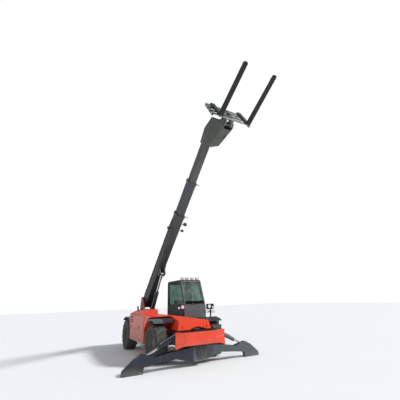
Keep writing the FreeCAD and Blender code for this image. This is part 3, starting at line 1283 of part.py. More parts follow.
def tilt_cylinder():
    """Tilt cylinder inside the boom head, down to the carriage's ears."""
    angle = "atan2(%s - (%s); %s - (%s))" % (TILT_FRONT[1], TILT_REAR[1], TILT_FRONT[0], TILT_REAR[0])
    length = span(TILT_REAR, TILT_FRONT)
    tube = barrel("tilt_barrel", "45", "fork_pin_radius", "tilt_barrel_radius", "tilt_barrel_length", "tilt_rod_radius")
    settle(tube, "boom_x", TILT_REAR[0], TILT_REAR[1], (1, 0, 0), angle)
    stem = rod("tilt_rod", "40", "88", "fork_pin_radius * 0.8", "tilt_rod_radius", "tilt_barrel_length - tilt_rod_inside",
               length)
    settle(stem, "boom_x", TILT_REAR[0], TILT_REAR[1], (1, 0, 0), angle)


# Stabilizers


def stabilizer(side, sign, depth):
    """Stabilizer leg: rounded head on the common pivot, open-topped channel, and a wedge foot with a cap plate."""
    leg = piece("stabilizer_" + side)
    mid = "(%s)" % depth
    low = mid + " - stab_leg_width / 2"
    high = mid + " + stab_leg_width / 2"
    profile = (
        ("-stab_head_radius * 0.2", "stab_pivot_z - stab_head_radius * 0.98", "stab_head_radius", -1),
        ("stab_head_radius * 0.3", "stab_pivot_z + stab_head_radius * 0.954"),
        ("stab_lug_x - 1180", "stab_pivot_z + 150"),
        ("stab_lug_x - 760", "stab_pivot_z + 122"),
        ("stab_lug_x - 310", "stab_lug_z - 23"),
        ("stab_lug_x - 215", "stab_lug_z - 3"),
        ("stab_lug_x + 90", "stab_lug_z + 70"),
        ("stab_lug_x + 270", "stab_lug_z - 23"),
        ("stab_reach - 10", "95"),
        ("stab_reach", "0"),
        ("stab_reach - stab_sole", "0"),
        ("stab_reach - stab_sole - 5", "80"),
        ("stab_reach - stab_sole - 30", "150"),
        ("stab_lug_x - 380", "stab_pivot_z - 105"),
        ("stab_lug_x - 840", "stab_pivot_z - 68"),
        ("stab_head_radius + 104", "stab_pivot_z - 190"),
    )
    channel = (
        ("stab_head_radius + 150", "stab_pivot_z + 400"),
        ("stab_head_radius + 150", "stab_pivot_z - 120"),
        ("stab_lug_x - 840", "stab_pivot_z - 68 + stab_leg_plate"),
        ("stab_lug_x - 380", "stab_pivot_z - 105 + stab_leg_plate"),
        ("stab_lug_x + 20", "stab_lug_z - 180"),
        ("stab_lug_x + 120", "stab_lug_z - 110"),
        ("stab_lug_x + 120", "stab_pivot_z + 400"),
    )
    cap = (
        ("stab_lug_x + 282", "stab_lug_z - 40"),
        ("stab_lug_x + 292", "stab_lug_z - 26"),
        ("stab_reach - 18", "118"),
        ("stab_reach - 28", "104"),
    )
    if sign:
        profile, channel, cap = mirrored(profile), mirrored(channel), mirrored(cap)
    prism(leg, "leg", "XZ", profile, low, high)
    prism(leg, "channel", "XZ", channel, low + " + stab_leg_plate", high + " - stab_leg_plate", cut=True)
    prism(leg, "cap", "XZ", cap, low + " + stab_leg_plate", high + " - stab_leg_plate")
    post(leg, "pivot_bore", "Y", ("0", "stab_pivot_z"), "stab_pin_radius + pin_play", low + " - 1", high + " + 1", cut=True,
         sides=PIN_SIDES)
    for name, start, stop in (("front", low + " - 5", low + " + 1"), ("rear", high + " - 1", high + " + 5")):
        post(leg, "pin_head_" + name, "Y", (sign + "stab_lug_x", "stab_lug_z"), "stab_eye_radius + 12", start, stop,
             sides=PIN_SIDES)
    return leg


STAB_DEPTH = {
    "right": "stab_wall_y - 2 * stab_gap - 1.5 * stab_leg_width",
    "left": "stab_wall_y - stab_gap - 0.5 * stab_leg_width",
}


def stabilizer_cylinders():
    """Cylinders from the front beam down to the legs."""
    start = ("stab_top_x", "stab_top_z")
    end = ("stab_lug_x", "stab_lug_z")
    length = span(start, end)
    for side, sign in (("right", "-"), ("left", "")):
        tube = barrel("stab_barrel_" + side, "50", "stab_eye_radius", "stab_barrel_radius", "stab_barrel_length", "stab_rod_radius")
        stem = rod("stab_rod_" + side, "45", "56", "stab_eye_radius", "stab_rod_radius", "stab_barrel_length - 130", length)
        fall = math.degrees(math.atan2(size("stab_lug_z - stab_top_z"), size("stab_lug_x - stab_top_x")))
        for body in (tube, stem):
            if sign:
                spin = FreeCAD.Rotation(FreeCAD.Vector(0, 1, 0), fall)
                face = FreeCAD.Rotation(FreeCAD.Vector(0, 0, 1), 90)
            else:
                spin = FreeCAD.Rotation(FreeCAD.Vector(0, 1, 0), -fall)
                face = FreeCAD.Rotation(FreeCAD.Vector(0, 0, 1), -90)
            body.Placement = FreeCAD.Placement(FreeCAD.Vector(), spin.multiply(face))
            body.setExpression("Placement.Base.x", formula(sign + "stab_top_x"))
            body.setExpression("Placement.Base.y", formula(STAB_DEPTH[side]))
            body.setExpression("Placement.Base.z", formula("stab_top_z"))


def pins():
    """Boom pivot pin, the lift cylinder's lower pin."""
    body = piece("frame_pins")
    post(body, "boom_pin", "X", ("boom_pivot_y", "boom_pivot_z"), "boom_pin_radius",
         "boom_x - rail_gap / 2 - rail_wall - 12", "boom_x + rail_gap / 2 + rail_wall + 12")
    post(body, "lift_foot_pin", "X", ("lift_foot_y", "lift_foot_z"), "lift_pin_radius",
         "boom_x - rail_gap / 2 - rail_wall - 12", "boom_x + rail_gap / 2 + rail_wall + 12")
    return body


def cab_seats():
    """Brackets that carry the cab on the left rail."""
    body = piece("cab_mounts")
    for name, y in (("front", "cab_front + 200"), ("rear", "cab_rear - 320")):
        block(body, name, "boom_x + rail_gap / 2 + rail_wall", "cab_inner_x", y, y + " + 120",
              "frame_bottom + 30", "frame_top - 90")
    return body


def mirrored(corners):
    """The same outline on the other side of the centre plane."""
    turned = []
    for corner in corners:
        way = (-corner[3],) if len(corner) > 2 else ()
        turned.append(("-(%s)" % corner[0],) + corner[1:3] + way)
    return tuple(turned)


def ringed(title, sections):
    """A solid about the X axis in flat facets, through (across, radius) sections."""
    rings = []
    for number, (across, radius) in enumerate(sections):
        ring = doc.addObject("Part::RegularPolygon", "%s_ring_%d" % (title, number))
        ring.Polygon = WHEEL_SIDES
        ring.Placement = FreeCAD.Placement(FreeCAD.Vector(), FreeCAD.Rotation(FreeCAD.Vector(0, 1, 0), 90))
        ring.setExpression("Placement.Base.x", formula(across))
        ring.setExpression("Circumradius", formula(radius))
        rings.append(ring)
    loft = doc.addObject("Part::Loft", title)
    loft.Sections = rings
    loft.Solid = True
    loft.Ruled = True
    return loft


def started(label, base):
    """A new named piece that starts from a finished solid."""
    body = piece(label)
    doc.recompute()
    body.BaseFeature = base
    doc.recompute()
    return body


def folded(label, corners, panels, thickness):
    """A new named plate folded along straight creases; each panel is a flat outline of named corners."""
    solids = []
    for panel in panels:
        ring = [FreeCAD.Vector(*[size(place) for place in corners[name]]) for name in panel]
        face = Part.Face(Part.makePolygon(ring + ring[:1]))
        solids.append(face.extrude(FreeCAD.Vector(0, size(thickness), 0)))
    plate = doc.addObject("Part::Feature", label + "_plate")
    plate.Shape = solids[0].fuse(solids[1:]).removeSplitter()
    return started(label, plate)


def around(body, feature, count):
    """Repeats a feature round the X axis."""
    pattern = body.newObject("PartDesign::PolarPattern", feature.Name + "_round")
    pattern.Originals = [feature]
    pattern.Axis = ([part for part in body.Origin.OriginFeatures if part.Role == "X_Axis"][0], [""])
    pattern.Angle = 360
    pattern.Occurrences = count
    body.Tip = pattern
    before = feature.Shape.Volume
    doc.recompute()
    if pattern.Shape.Volume <= before:
        raise RuntimeError("%s in %s repeats nothing" % (feature.Name, body.Label))


DECK_SLOPE = (
    # top of the middle of the front body: level with the engine pod at its right, falling towards the cab
    ("-nose_half_top", "deck_top - 5"),
    ("nose_half_bottom + 1", "deck_top - deck_fall"),
)


def driveline():
    """Transfer gearbox under the frame, with a jointed drive shaft to each axle."""
    body = piece("driveline")
    block(body, "gearbox", "-3 * shaft_radius", "3 * shaft_radius", "-gearbox_half", "gearbox_half",
          "tyre_radius - 3 * shaft_radius", "frame_bottom")
    shafts = (
        # name, front end, rear end
        ("front", "front_axle_y + pinion_reach", "-gearbox_half"),
        ("rear", "gearbox_half", "rear_axle_y - pinion_reach"),
    )
    for name, low, high in shafts:
        centre = ("0", "tyre_radius")
        post(body, name + "_shaft", "Y", centre, "shaft_radius", low, high, sides=12)
        post(body, name + "_joint_ahead", "Y", centre, "shaft_radius + 20", low, low + " + 80", sides=12)
        post(body, name + "_joint_behind", "Y", centre, "shaft_radius + 20", high + " - 80", high, sides=12)
    return body


def fuel_tank():
    """Fuel tank under the cab, with the driver's two steps cut into its side."""
    tank = piece("fuel_tank")
    block(tank, "tank", "tank_inner_x", "tank_outer_x", "door_front", "cab_rear - 120", "tank_bottom", "cab_floor")
    rounded(tank, "corners", "50", lambda edge: along(edge, UPRIGHT))
    middle = "(tank_bottom + cab_floor) / 2"
    for name, low, high in (("low", "tank_bottom + 20", middle + " - 10"), ("high", middle + " + 10", "cab_floor - 20")):
        block(tank, "step_" + name, "tank_outer_x - step_depth", "tank_outer_x + 1", "door_front + 90",
              "door_front + 90 + step_length", low, high, cut=True)
    return tank


LAMPS = (
    # name, across, front face, height, radius, or none for a square lamp
    ("right_small", "cab_inner_x - 248", "deck_rear - 65", "cab_sill - 96", "lamp_small"),
    ("right_large", "cab_inner_x - 105", "deck_rear - 65", "cab_sill - 70", "lamp_radius"),
    ("left_large", "wheel_x - 3", "front_axle_y + 35", "cab_sill - 63", "lamp_radius"),
    ("left_small", "wheel_x + 145", "front_axle_y + 35", "cab_sill - 102", "lamp_small"),
    ("left_inner", "wheel_x - 110", "front_axle_y + 35", "deck_top + 30", ""),
    ("left_outer", "wheel_x + 125", "front_axle_y + 35", "deck_top + 30", ""),
    ("roof_first", "cab_inner_x + 110", "cab_brow + 20", "cab_roof + 48", ""),
    ("roof_second", "cab_inner_x + 310", "cab_brow + 20", "cab_roof + 48", ""),
    ("roof_third", "cab_inner_x + 530", "cab_brow + 20", "cab_roof + 48", ""),
    ("roof_fourth", "cab_inner_x + 745", "cab_brow + 20", "cab_roof + 48", ""),
)


def lamps():
    """Lamp housings: a pair beside the cab, two pairs on a stalk over the left fender, and four on the roof."""
    body = piece("lamps")
    for name, x, y, z, radius in LAMPS:
        if radius:
            post(body, name, "Y", (x, z), radius, y, y + " + lamp_depth", sides=24)
            post(body, name + "_recess", "Y", (x, z), radius + " - lamp_wall", y + " - 1", y + " + 14", cut=True, sides=24)
            continue
        block(body, name, "%s - lamp_half" % x, "%s + lamp_half" % x, y, y + " + lamp_depth", "%s - 38" % z, "%s + 38" % z)
        block(body, name + "_recess", "%s - lamp_half + lamp_wall" % x, "%s + lamp_half - lamp_wall" % x, y + " - 1",
              y + " + 14", "%s - 38 + lamp_wall" % z, "%s + 38 - lamp_wall" % z, cut=True)
        if name.startswith("roof"):
            block(body, name + "_foot", "%s - lamp_post" % x, "%s + lamp_post" % x, y + " + 20", y + " + 56",
                  "cab_roof - 40", "%s - 37" % z)
    prism(body, "roof_seat", "YZ", ROOF_LINE, "cab_inner_x", "cab_outer_x", cut=True)
    back = "front_axle_y + 35 + lamp_depth"
    block(body, "left_stalk", "wheel_x + 60 - lamp_post", "wheel_x + 60 + lamp_post", back + " - 2 * lamp_post", back,
          "2 * tyre_radius + fender_clear", "cab_sill - 60")
    block(body, "left_bar", "wheel_x - 110", "wheel_x + 125", back + " - lamp_post", back, "deck_top + 15", "deck_top + 45")
    block(body, "left_top_bar", "wheel_x - 3", "wheel_x + 145", back + " - lamp_post", back, "cab_sill - 100", "cab_sill - 70")
    block(body, "right_bar", "cab_inner_x - 248", "cab_inner_x - 105", "deck_rear - 5 - lamp_post", "deck_rear - panel_gap",
          "cab_sill - 100", "cab_sill - 70")
    block(body, "right_stalk", "cab_inner_x - 180 - lamp_post", "cab_inner_x - 180 + lamp_post",
          "deck_rear - panel_gap - 2 * lamp_post", "deck_rear - panel_gap", "nose_top", "cab_sill - 75")
    below = tuple((x, z + " + seat_fit") for x, z in DECK_SLOPE) + (
        ("nose_half_bottom + 1", "nose_bottom"), ("-nose_half_top", "nose_bottom"))
    prism(body, "deck_seat", "XZ", below, "deck_front", "deck_rear", cut=True)
    fender_top = (
        ("front_axle_y - fender_half", "tyre_radius"),
        ("front_axle_y + fender_half", "tyre_radius"),
        ("front_axle_y + fender_half", "%s - fender_curve + sqrt((fender_curve + fender_plate + seat_fit)^2 - fender_half^2)"
         % "2 * tyre_radius + fender_clear", "fender_curve + fender_plate + seat_fit", 1),
        ("front_axle_y - fender_half", "%s - fender_curve + sqrt((fender_curve + fender_plate + seat_fit)^2 - fender_half^2)"
         % "2 * tyre_radius + fender_clear"),
    )
    prism(body, "fender_seat", "YZ", fender_top, "nose_half_bottom + 2", "wheel_x + tyre_width", cut=True)
    for side, sign in (("right", "-"), ("left", "")):
        low, high = ("-weight_half + weight_corner + 20", "-weight_half + weight_corner + 220") if sign else (
            "weight_half - weight_corner - 220", "weight_half - weight_corner - 20")
        block(body, "rear_" + side, low, high, "weight_rear", "weight_rear + 35", "weight_top - 150", "weight_top - 60")
        block(body, "rear_recess_" + side, low + " + lamp_wall", high + " - lamp_wall", "weight_rear + 22",
              "weight_rear + 36", "weight_top - 150 + lamp_wall", "weight_top - 60 - lamp_wall", cut=True)
    return body


ROOF_LINE = (
    # what a lamp's foot stands on
    ("cab_rear", "cab_roof - 41"),
    ("cab_rear", "cab_roof + seat_fit"),
    ("cab_brow + cab_round", "cab_roof + seat_fit", "cab_round * 1.3 + seat_fit", 1),
    ("cab_brow - cab_round * cab_lean / (cab_roof - cab_sill)", "cab_roof - cab_round + seat_fit"),
    ("cab_brow", "cab_roof - cab_round"),
)


def lamp_lenses():
    """Lenses, each seated in its lamp."""
    body = piece("lamp_lenses")
    fit = "lamp_wall + seat_fit"
    for name, x, y, z, radius in LAMPS:
        if radius:
            post(body, name, "Y", (x, z), "%s - %s" % (radius, fit), y + " + 3", y + " + 14", sides=24)
        else:
            block(body, name, "%s - lamp_half + %s" % (x, fit), "%s + lamp_half - (%s)" % (x, fit), y + " + 3", y + " + 14",
                  "%s - 38 + %s" % (z, fit), "%s + 38 - (%s)" % (z, fit))
    for side, sign in (("right", "-"), ("left", "")):
        low, high = ("-weight_half + weight_corner + 20", "-weight_half + weight_corner + 220") if sign else (
            "weight_half - weight_corner - 220", "weight_half - weight_corner - 20")
        block(body, "rear_" + side, "%s + %s" % (low, fit), "%s - (%s)" % (high, fit), "weight_rear + 22",
              "weight_rear + 34", "weight_top - 150 + %s" % fit, "weight_top - 60 - (%s)" % fit)
    return body


def build():
    """Makes every piece, checks it and writes it."""
    chassis_frame()
    stabilizer_mount()
    front_beam()
    front_body()
    axle_beams()
    driveline()
    for corner, side, end in CORNERS:
        knuckle(corner, side, end)
        rim(corner, side, end)
        tyre(corner, side, end)
    fenders()
    engine_pod()
    engine_block()
    engine_hood()
    cab_shell()
    cab_door()
    cab_glass()
    door_glass()
    cab_interior()
    seat_cushions()
    fuel_tank()
    lamps()
    lamp_lenses()
    counterweight()
    boom_outer()
    boom_middle()
    boom_inner()
    fork_carriage()
    forks()
    lift_cylinder()
    tilt_cylinder()
    stabilizer("right", "-", STAB_DEPTH["right"])
    stabilizer("left", "", STAB_DEPTH["left"])
    stabilizer_cylinders()
    pins()
    cab_seats()
    doc.recompute()
    for item in doc.Objects:
        if "Invalid" in item.State or "Error" in item.State:
            raise RuntimeError("%s failed: %s" % (item.Label, item.State))
    for label, body in PIECES.items():
        if body.Shape.isNull() or not body.Shape.isValid():
            raise RuntimeError("%s has no valid shape" % label)
    os.makedirs("parts", exist_ok=True)
    for label, body in PIECES.items():
        body.Shape.exportStep("parts/%s.step" % label)


build()
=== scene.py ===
"""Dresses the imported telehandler: worn paint, glass, chrome and rubber, seat pads, fixings, pipes and trim."""

import json
import math

import bmesh
import bpy
from mathutils import Matrix, Vector
from mathutils.geometry import interpolate_bezier


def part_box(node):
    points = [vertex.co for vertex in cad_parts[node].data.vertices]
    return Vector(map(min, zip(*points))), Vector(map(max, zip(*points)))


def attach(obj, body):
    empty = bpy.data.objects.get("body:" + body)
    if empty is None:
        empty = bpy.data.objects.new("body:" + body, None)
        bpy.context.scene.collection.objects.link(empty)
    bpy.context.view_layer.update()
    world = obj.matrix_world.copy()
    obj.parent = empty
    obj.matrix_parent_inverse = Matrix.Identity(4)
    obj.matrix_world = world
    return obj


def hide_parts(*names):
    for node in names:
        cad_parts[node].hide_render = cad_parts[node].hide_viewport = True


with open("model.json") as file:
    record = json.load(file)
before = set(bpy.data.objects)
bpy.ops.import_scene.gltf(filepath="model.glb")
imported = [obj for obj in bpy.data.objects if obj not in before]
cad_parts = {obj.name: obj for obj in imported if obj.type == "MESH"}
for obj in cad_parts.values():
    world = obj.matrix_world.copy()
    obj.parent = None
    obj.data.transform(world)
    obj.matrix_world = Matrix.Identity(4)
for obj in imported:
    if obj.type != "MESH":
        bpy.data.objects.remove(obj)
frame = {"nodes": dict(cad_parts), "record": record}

bl_info = {
    "name": "Telehandler dressing",
    "version": (1, 0, 0),
    "blender": (4, 5, 0),
    "location": "View3D > Sidebar > Telehandler",
    "description": "Adds the looks of a worn telehandler to its packed solids",
    "category": "Object",
}

# Where the boom turns, and how it stands
BOOM_X = -0.17
BOOM_PIVOT = Vector((BOOM_X, 1.99, 1.757))
BOOM_ANGLE = math.radians(40.6)

# Middles of the wheels, the same on both sides and both axles
WHEEL_X = 0.97
AXLE_Y = 1.535
TYRE_RADIUS = 0.54

# How far the stuffing may push the cover of a pad outwards
PAD_LOFT = 0.022

ROUND_LAMPS = (
    # name, across, front face, height, radius
    ("right_small", 0.062, -0.920, 1.464, 0.045),
    ("right_large", 0.205, -0.920, 1.490, 0.066),
    ("left_large", 0.967, -1.500, 1.497, 0.066),
    ("left_small", 1.115, -1.500, 1.458, 0.045),
)


class PaintColours(bpy.types.PropertyGroup):
    """Colours of the machine."""

    body: bpy.props.FloatVectorProperty(
        name="Body", description="Paint of the nose, beam and engine pod", subtype="COLOR", size=3,
        default=(0.95, 0.064, 0.019), min=0, max=1)
    faded: bpy.props.FloatVectorProperty(
        name="Faded body", description="Body paint where the sun has bleached it", subtype="COLOR", size=3,
        default=(0.62, 0.155, 0.125), min=0, max=1)
    frame: bpy.props.FloatVectorProperty(
        name="Frame", description="Paint of the frame and tank", subtype="COLOR", size=3,
        default=(0.30, 0.022, 0.014), min=0, max=1)
    boom: bpy.props.FloatVectorProperty(
        name="Boom", description="Paint of the boom", subtype="COLOR", size=3, default=(0.060, 0.062, 0.068), min=0, max=1)
    leg: bpy.props.FloatVectorProperty(
        name="Stabilizers", description="Paint of the stabilizer legs", subtype="COLOR", size=3,
        default=(0.090, 0.106, 0.116), min=0, max=1)
    cab: bpy.props.FloatVectorProperty(
        name="Cab", description="Paint of the cab's frame", subtype="COLOR", size=3, default=(0.030, 0.032, 0.035),
        min=0, max=1)
    rubber: bpy.props.FloatVectorProperty(
        name="Rubber", description="Tyres", subtype="COLOR", size=3, default=(0.034, 0.036, 0.033), min=0, max=1)
    dust: bpy.props.FloatVectorProperty(
        name="Dust", description="Dried dirt", subtype="COLOR", size=3, default=(0.235, 0.215, 0.17), min=0, max=1)
    wear: bpy.props.FloatProperty(name="Wear", description="How much dirt and fading shows", default=1.0, min=0, max=2)


class TrimSizes(bpy.types.PropertyGroup):
    """Sizes of the added trim."""

    bolt_radius: bpy.props.FloatProperty(
        name="Bolt head", description="Radius of a plain bolt's head", default=0.013, min=0.004, unit="LENGTH")
    wheel_nuts: bpy.props.IntProperty(name="Wheel nuts", description="Nuts on each wheel", default=10, min=4, max=16)
    pipe_radius: bpy.props.FloatProperty(
        name="Pipe", description="Radius of the oil pipes", default=0.011, min=0.003, unit="LENGTH")
    beam_bolts: bpy.props.IntProperty(name="Beam bolts", description="Bolts along the guard beam", default=9, min=2)


def put(builder, name, body, material, smooth=True):
    """Turns a filled bmesh into a piece that rides on a body of the machine."""
    bmesh.ops.remove_doubles(builder, verts=builder.verts, dist=0.00002)
    bmesh.ops.recalc_face_normals(builder, faces=builder.faces)
    mesh = bpy.data.meshes.new(name)
    builder.to_mesh(mesh)
    builder.free()
    piece = bpy.data.objects.new(name, mesh)
    bpy.context.scene.collection.objects.link(piece)
    mesh.materials.append(material)
    if smooth:
        for face in mesh.polygons:
            face.use_smooth = True
        mesh.set_sharp_from_angle(angle=math.radians(35))
    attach(piece, body)
    return piece


def turned(direction):
    """Rotation that takes the Z axis to a direction."""
    return Vector((0, 0, 1)).rotation_difference(Vector(direction).normalized()).to_matrix().to_4x4()


def stud(builder, place, direction, radius, height, sides=6, bevel=0.15):
    """A bolt head or short pin: a many-sided face drawn out along a direction, its far edge eased."""
    matrix = Matrix.Translation(place) @ turned(direction)
    verts = bmesh.ops.create_circle(builder, cap_ends=True, radius=radius, segments=sides, matrix=matrix)["verts"]
    face = verts[0].link_faces[0]
    grown = bmesh.ops.extrude_face_region(builder, geom=[face])
    top = [item for item in grown["geom"] if isinstance(item, bmesh.types.BMVert)]
    bmesh.ops.translate(builder, verts=top, vec=Vector(direction).normalized() * height)
    edges = {edge for vert in top for edge in vert.link_edges if edge.other_vert(vert) in top}
    if bevel:
        bmesh.ops.bevel(builder, geom=list(edges), offset=radius * bevel, affect="EDGES", segments=2, profile=0.5, material=-1)


def ring(builder, place, direction, major, minor, sides=32):
    """A round bar bent into a ring about a direction."""
    matrix = Matrix.Translation(place) @ turned(direction)
    start = matrix @ Matrix.Translation((major, 0, 0)) @ Matrix.Rotation(math.pi / 2, 4, "X")
    verts = bmesh.ops.create_circle(builder, cap_ends=False, radius=minor, segments=10, matrix=start)["verts"]
    edges = list({edge for vert in verts for edge in vert.link_edges})
    bmesh.ops.spin(builder, geom=verts + edges, cent=place, axis=Vector(direction), angle=2 * math.pi, steps=sides,
                   use_merge=True, use_duplicate=False)


def pipe(builder, points, radius, sides=10):
    """A round pipe through points, each bend rounded by two short steps."""
    points = [Vector(point) for point in points]
    path = [points[0]]
    for before, corner, after in zip(points, points[1:], points[2:]):
        ease = min(4 * radius, (corner - before).length * 0.45, (after - corner).length * 0.45)
        first = corner + (before - corner).normalized() * ease
        last = corner + (after - corner).normalized() * ease
        path += [first, (first + 2 * corner + last) / 4, last]
    path.append(points[-1])
    loops = []
    for number, point in enumerate(path):
        ahead = path[min(number + 1, len(path) - 1)] - path[max(number - 1, 0)]
        matrix = Matrix.Translation(point) @ turned(ahead)
        caps = number in (0, len(path) - 1)
        verts = bmesh.ops.create_circle(builder, cap_ends=caps, radius=radius, segments=sides, matrix=matrix)["verts"]
        loops.append([edge for edge in {edge for vert in verts for edge in vert.link_edges} if len(edge.link_faces) < 2])
    for first, second in zip(loops, loops[1:]):
        bmesh.ops.bridge_loops(builder, edges=first + second)


def slab(builder, low, high, bevel=0.004):
    """A plate between two corners, its edges eased."""
    low, high = Vector(low), Vector(high)
    matrix = Matrix.Translation((low + high) / 2) @ Matrix.Diagonal((*(high - low), 1))
    verts = bmesh.ops.create_cube(builder, size=1, matrix=matrix)["verts"]
    edges = list({edge for vert in verts for edge in vert.link_edges})
    bmesh.ops.bevel(builder, geom=edges, offset=bevel, affect="EDGES", segments=2, profile=0.5, material=-1)


def on_boom(ahead, x, up):
    """A point by its distance ahead of the boom's pivot, across, and above the boom's middle line."""
    cos, sin = math.cos(BOOM_ANGLE), math.sin(BOOM_ANGLE)
    return Vector((x, BOOM_PIVOT.y - ahead * cos + up * sin, BOOM_PIVOT.z + ahead * sin + up * cos))


class Shade:
    """Builds one node material step by step."""

    def __init__(self, name):
        self.material = bpy.data.materials.new(name)
        self.material.use_nodes = True
        self.tree = self.material.node_tree
        self.shader = self.tree.nodes["Principled BSDF"]
        self.place = self.node("ShaderNodeTexCoord").outputs["Object"]

    def node(self, kind, **settings):
        node = self.tree.nodes.new(kind)
        for name, value in settings.items():
            setattr(node, name, value)
        return node

    def feed(self, socket, value):
        if isinstance(value, bpy.types.NodeSocket):
            self.tree.links.new(value, socket)
        else:
            socket.default_value = value

    def noise(self, scale, detail=4, rough=0.6, place=None):
        node = self.node("ShaderNodeTexNoise")
        self.feed(node.inputs["Vector"], place or self.place)
        node.inputs["Scale"].default_value = scale
        node.inputs["Detail"].default_value = detail
        node.inputs["Roughness"].default_value = rough
        return node.outputs["Fac"]

    def stretch(self, value, low, high, out_low=0.0, out_high=1.0):
        node = self.node("ShaderNodeMapRange", clamp=True)
        for socket, given in zip(node.inputs, (value, low, high, out_low, out_high)):
            self.feed(socket, given)
        return node.outputs[0]

    def sum(self, operation, first, second=0.0):
        node = self.node("ShaderNodeMath", operation=operation)
        self.feed(node.inputs[0], first)
        self.feed(node.inputs[1], second)
        return node.outputs[0]

    def mix(self, share, first, second):
        node = self.node("ShaderNodeMix", data_type="RGBA")
        self.feed(node.inputs[0], share)
        self.feed(node.inputs[6], first if isinstance(first, bpy.types.NodeSocket) else (*first, 1))
        self.feed(node.inputs[7], second if isinstance(second, bpy.types.NodeSocket) else (*second, 1))
        return node.outputs[2]

    def parts(self):
        node = self.node("ShaderNodeSeparateXYZ")
        self.feed(node.inputs[0], self.place)
        return node.outputs

    def bump(self, height, strength, distance):
        node = self.node("ShaderNodeBump")
        node.inputs["Strength"].default_value = strength
        node.inputs["Distance"].default_value = distance
        self.feed(node.inputs["Height"], height)
        self.feed(self.shader.inputs["Normal"], node.outputs[0])

    def finish(self, colour, roughness, **uniform):
        self.feed(self.shader.inputs["Base Color"], colour)
        self.feed(self.shader.inputs["Roughness"], roughness)
        for name, value in uniform.items():
            self.shader.inputs[name.replace("_", " ")].default_value = value
        return self.material


def paint(name, colour, dust, wear, other=None, patches=0.5, gloss=0.32, dirt_top=1.2, grain=180, metallic=0.0, side=None,
          panel=None):
    """Worn paint: faded patches, fine scuffs, and dust that thickens towards the ground."""
    shade = Shade(name)
    across, along, up = shade.parts()
    base = shade.mix(shade.stretch(shade.noise(2.3, 6), 0.42, 0.62, 0, patches * wear), colour,
                     other or [value * 0.72 for value in colour])
    # side gives the machine's right side another colour, with a share that grows with wear: sun fading on the pod,
    # partly painted top light on the fenders, painted shade on the right stabilizer leg.
    if side:
        edge, side_fade_light_and_shade = side
        base = shade.mix(shade.stretch(across, edge + 0.03, edge, 0, 0.85 * wear), base, side_fade_light_and_shade)
    if panel:
        height, depth, tone = panel
        inside = shade.sum("MULTIPLY", shade.sum("LESS_THAN", up, height), shade.sum("LESS_THAN", along, depth))
        base = shade.mix(inside, base, tone)
    scuffs = shade.stretch(shade.noise(34, 8, 0.7), 0.60, 0.74, 0, 0.35 * wear)
    base = shade.mix(scuffs, base, [min(1, value * 1.35 + 0.02) for value in colour])
    low = shade.stretch(up, 0.0, dirt_top, 1, 0)
    cover = shade.sum("MULTIPLY", low, shade.stretch(shade.noise(5.5, 8, 0.68), 0.36, 0.66, 0.05, 0.9 * wear))
    streak = shade.node("ShaderNodeMapping")
    shade.feed(streak.inputs[0], shade.place)
    streak.inputs["Scale"].default_value = (14, 14, 0.9)
    runs = shade.stretch(shade.noise(1.6, 5, 0.6, streak.outputs[0]), 0.55, 0.78, 0, 0.22 * wear)
    base = shade.mix(shade.sum("MAXIMUM", cover, runs), base, dust)
    shade.bump(shade.noise(grain, 3), 0.12, 0.002)
    return shade.finish(base, shade.sum("ADD", shade.stretch(cover, 0, 1, gloss, 0.86), scuffs), Metallic=metallic)


def rubber(colour, dust, wear):
    """Tyre rubber: dust in the tread and rings moulded into the sidewall."""
    shade = Shade("worn_rubber")
    across, along, up = shade.parts()
    reach = shade.sum("SUBTRACT", shade.sum("ABSOLUTE", along), AXLE_Y)
    rise = shade.sum("SUBTRACT", up, TYRE_RADIUS)
    squares = shade.sum("ADD", shade.sum("MULTIPLY", reach, reach), shade.sum("MULTIPLY", rise, rise))
    radius = shade.sum("SQRT", squares)
    rings = shade.sum("SINE", shade.sum("MULTIPLY", radius, 310.0))
    wall = shade.stretch(radius, TYRE_RADIUS - 0.09, TYRE_RADIUS - 0.075, 1, 0)
    blotch = shade.stretch(shade.noise(7, 8, 0.7), 0.34, 0.68, 0.12, 0.85 * wear)
    dried = [value * 0.62 for value in dust]
    base = shade.mix(shade.sum("MULTIPLY", blotch, shade.stretch(radius, 0.3, 0.53, 0.35, 0.8)), colour, dried)
    worn = shade.stretch(radius, TYRE_RADIUS - 0.012, TYRE_RADIUS - 0.004, 0, 0.55)
    base = shade.mix(worn, base, [value * 0.8 for value in colour])
    height = shade.sum("ADD", shade.sum("MULTIPLY", rings, shade.sum("MULTIPLY", wall, 0.35)), shade.noise(90, 6))
    shade.bump(height, 0.35, 0.004)
    return shade.finish(base, shade.stretch(blotch, 0, 1, 0.62, 0.93), Metallic=0.0)


def bare_metal(name, colour, roughness, brushed=260.0, rust=0.0):
    """Chrome, ground steel or worn steel, with fine marks."""
    shade = Shade(name)
    marks = shade.noise(brushed, 2)
    stain = shade.stretch(shade.noise(9, 8, 0.7), 0.52, 0.72, 0, rust)
    base = shade.mix(shade.stretch(marks, 0.3, 0.7), [value * 0.86 for value in colour], colour)
    base = shade.mix(stain, base, (0.16, 0.065, 0.03))
    shade.bump(marks, 0.05, 0.001)
    return shade.finish(base, shade.sum("ADD", shade.stretch(marks, 0.3, 0.7, roughness, roughness + 0.09), stain),
                        Metallic=1.0 - min(rust, 0.5))


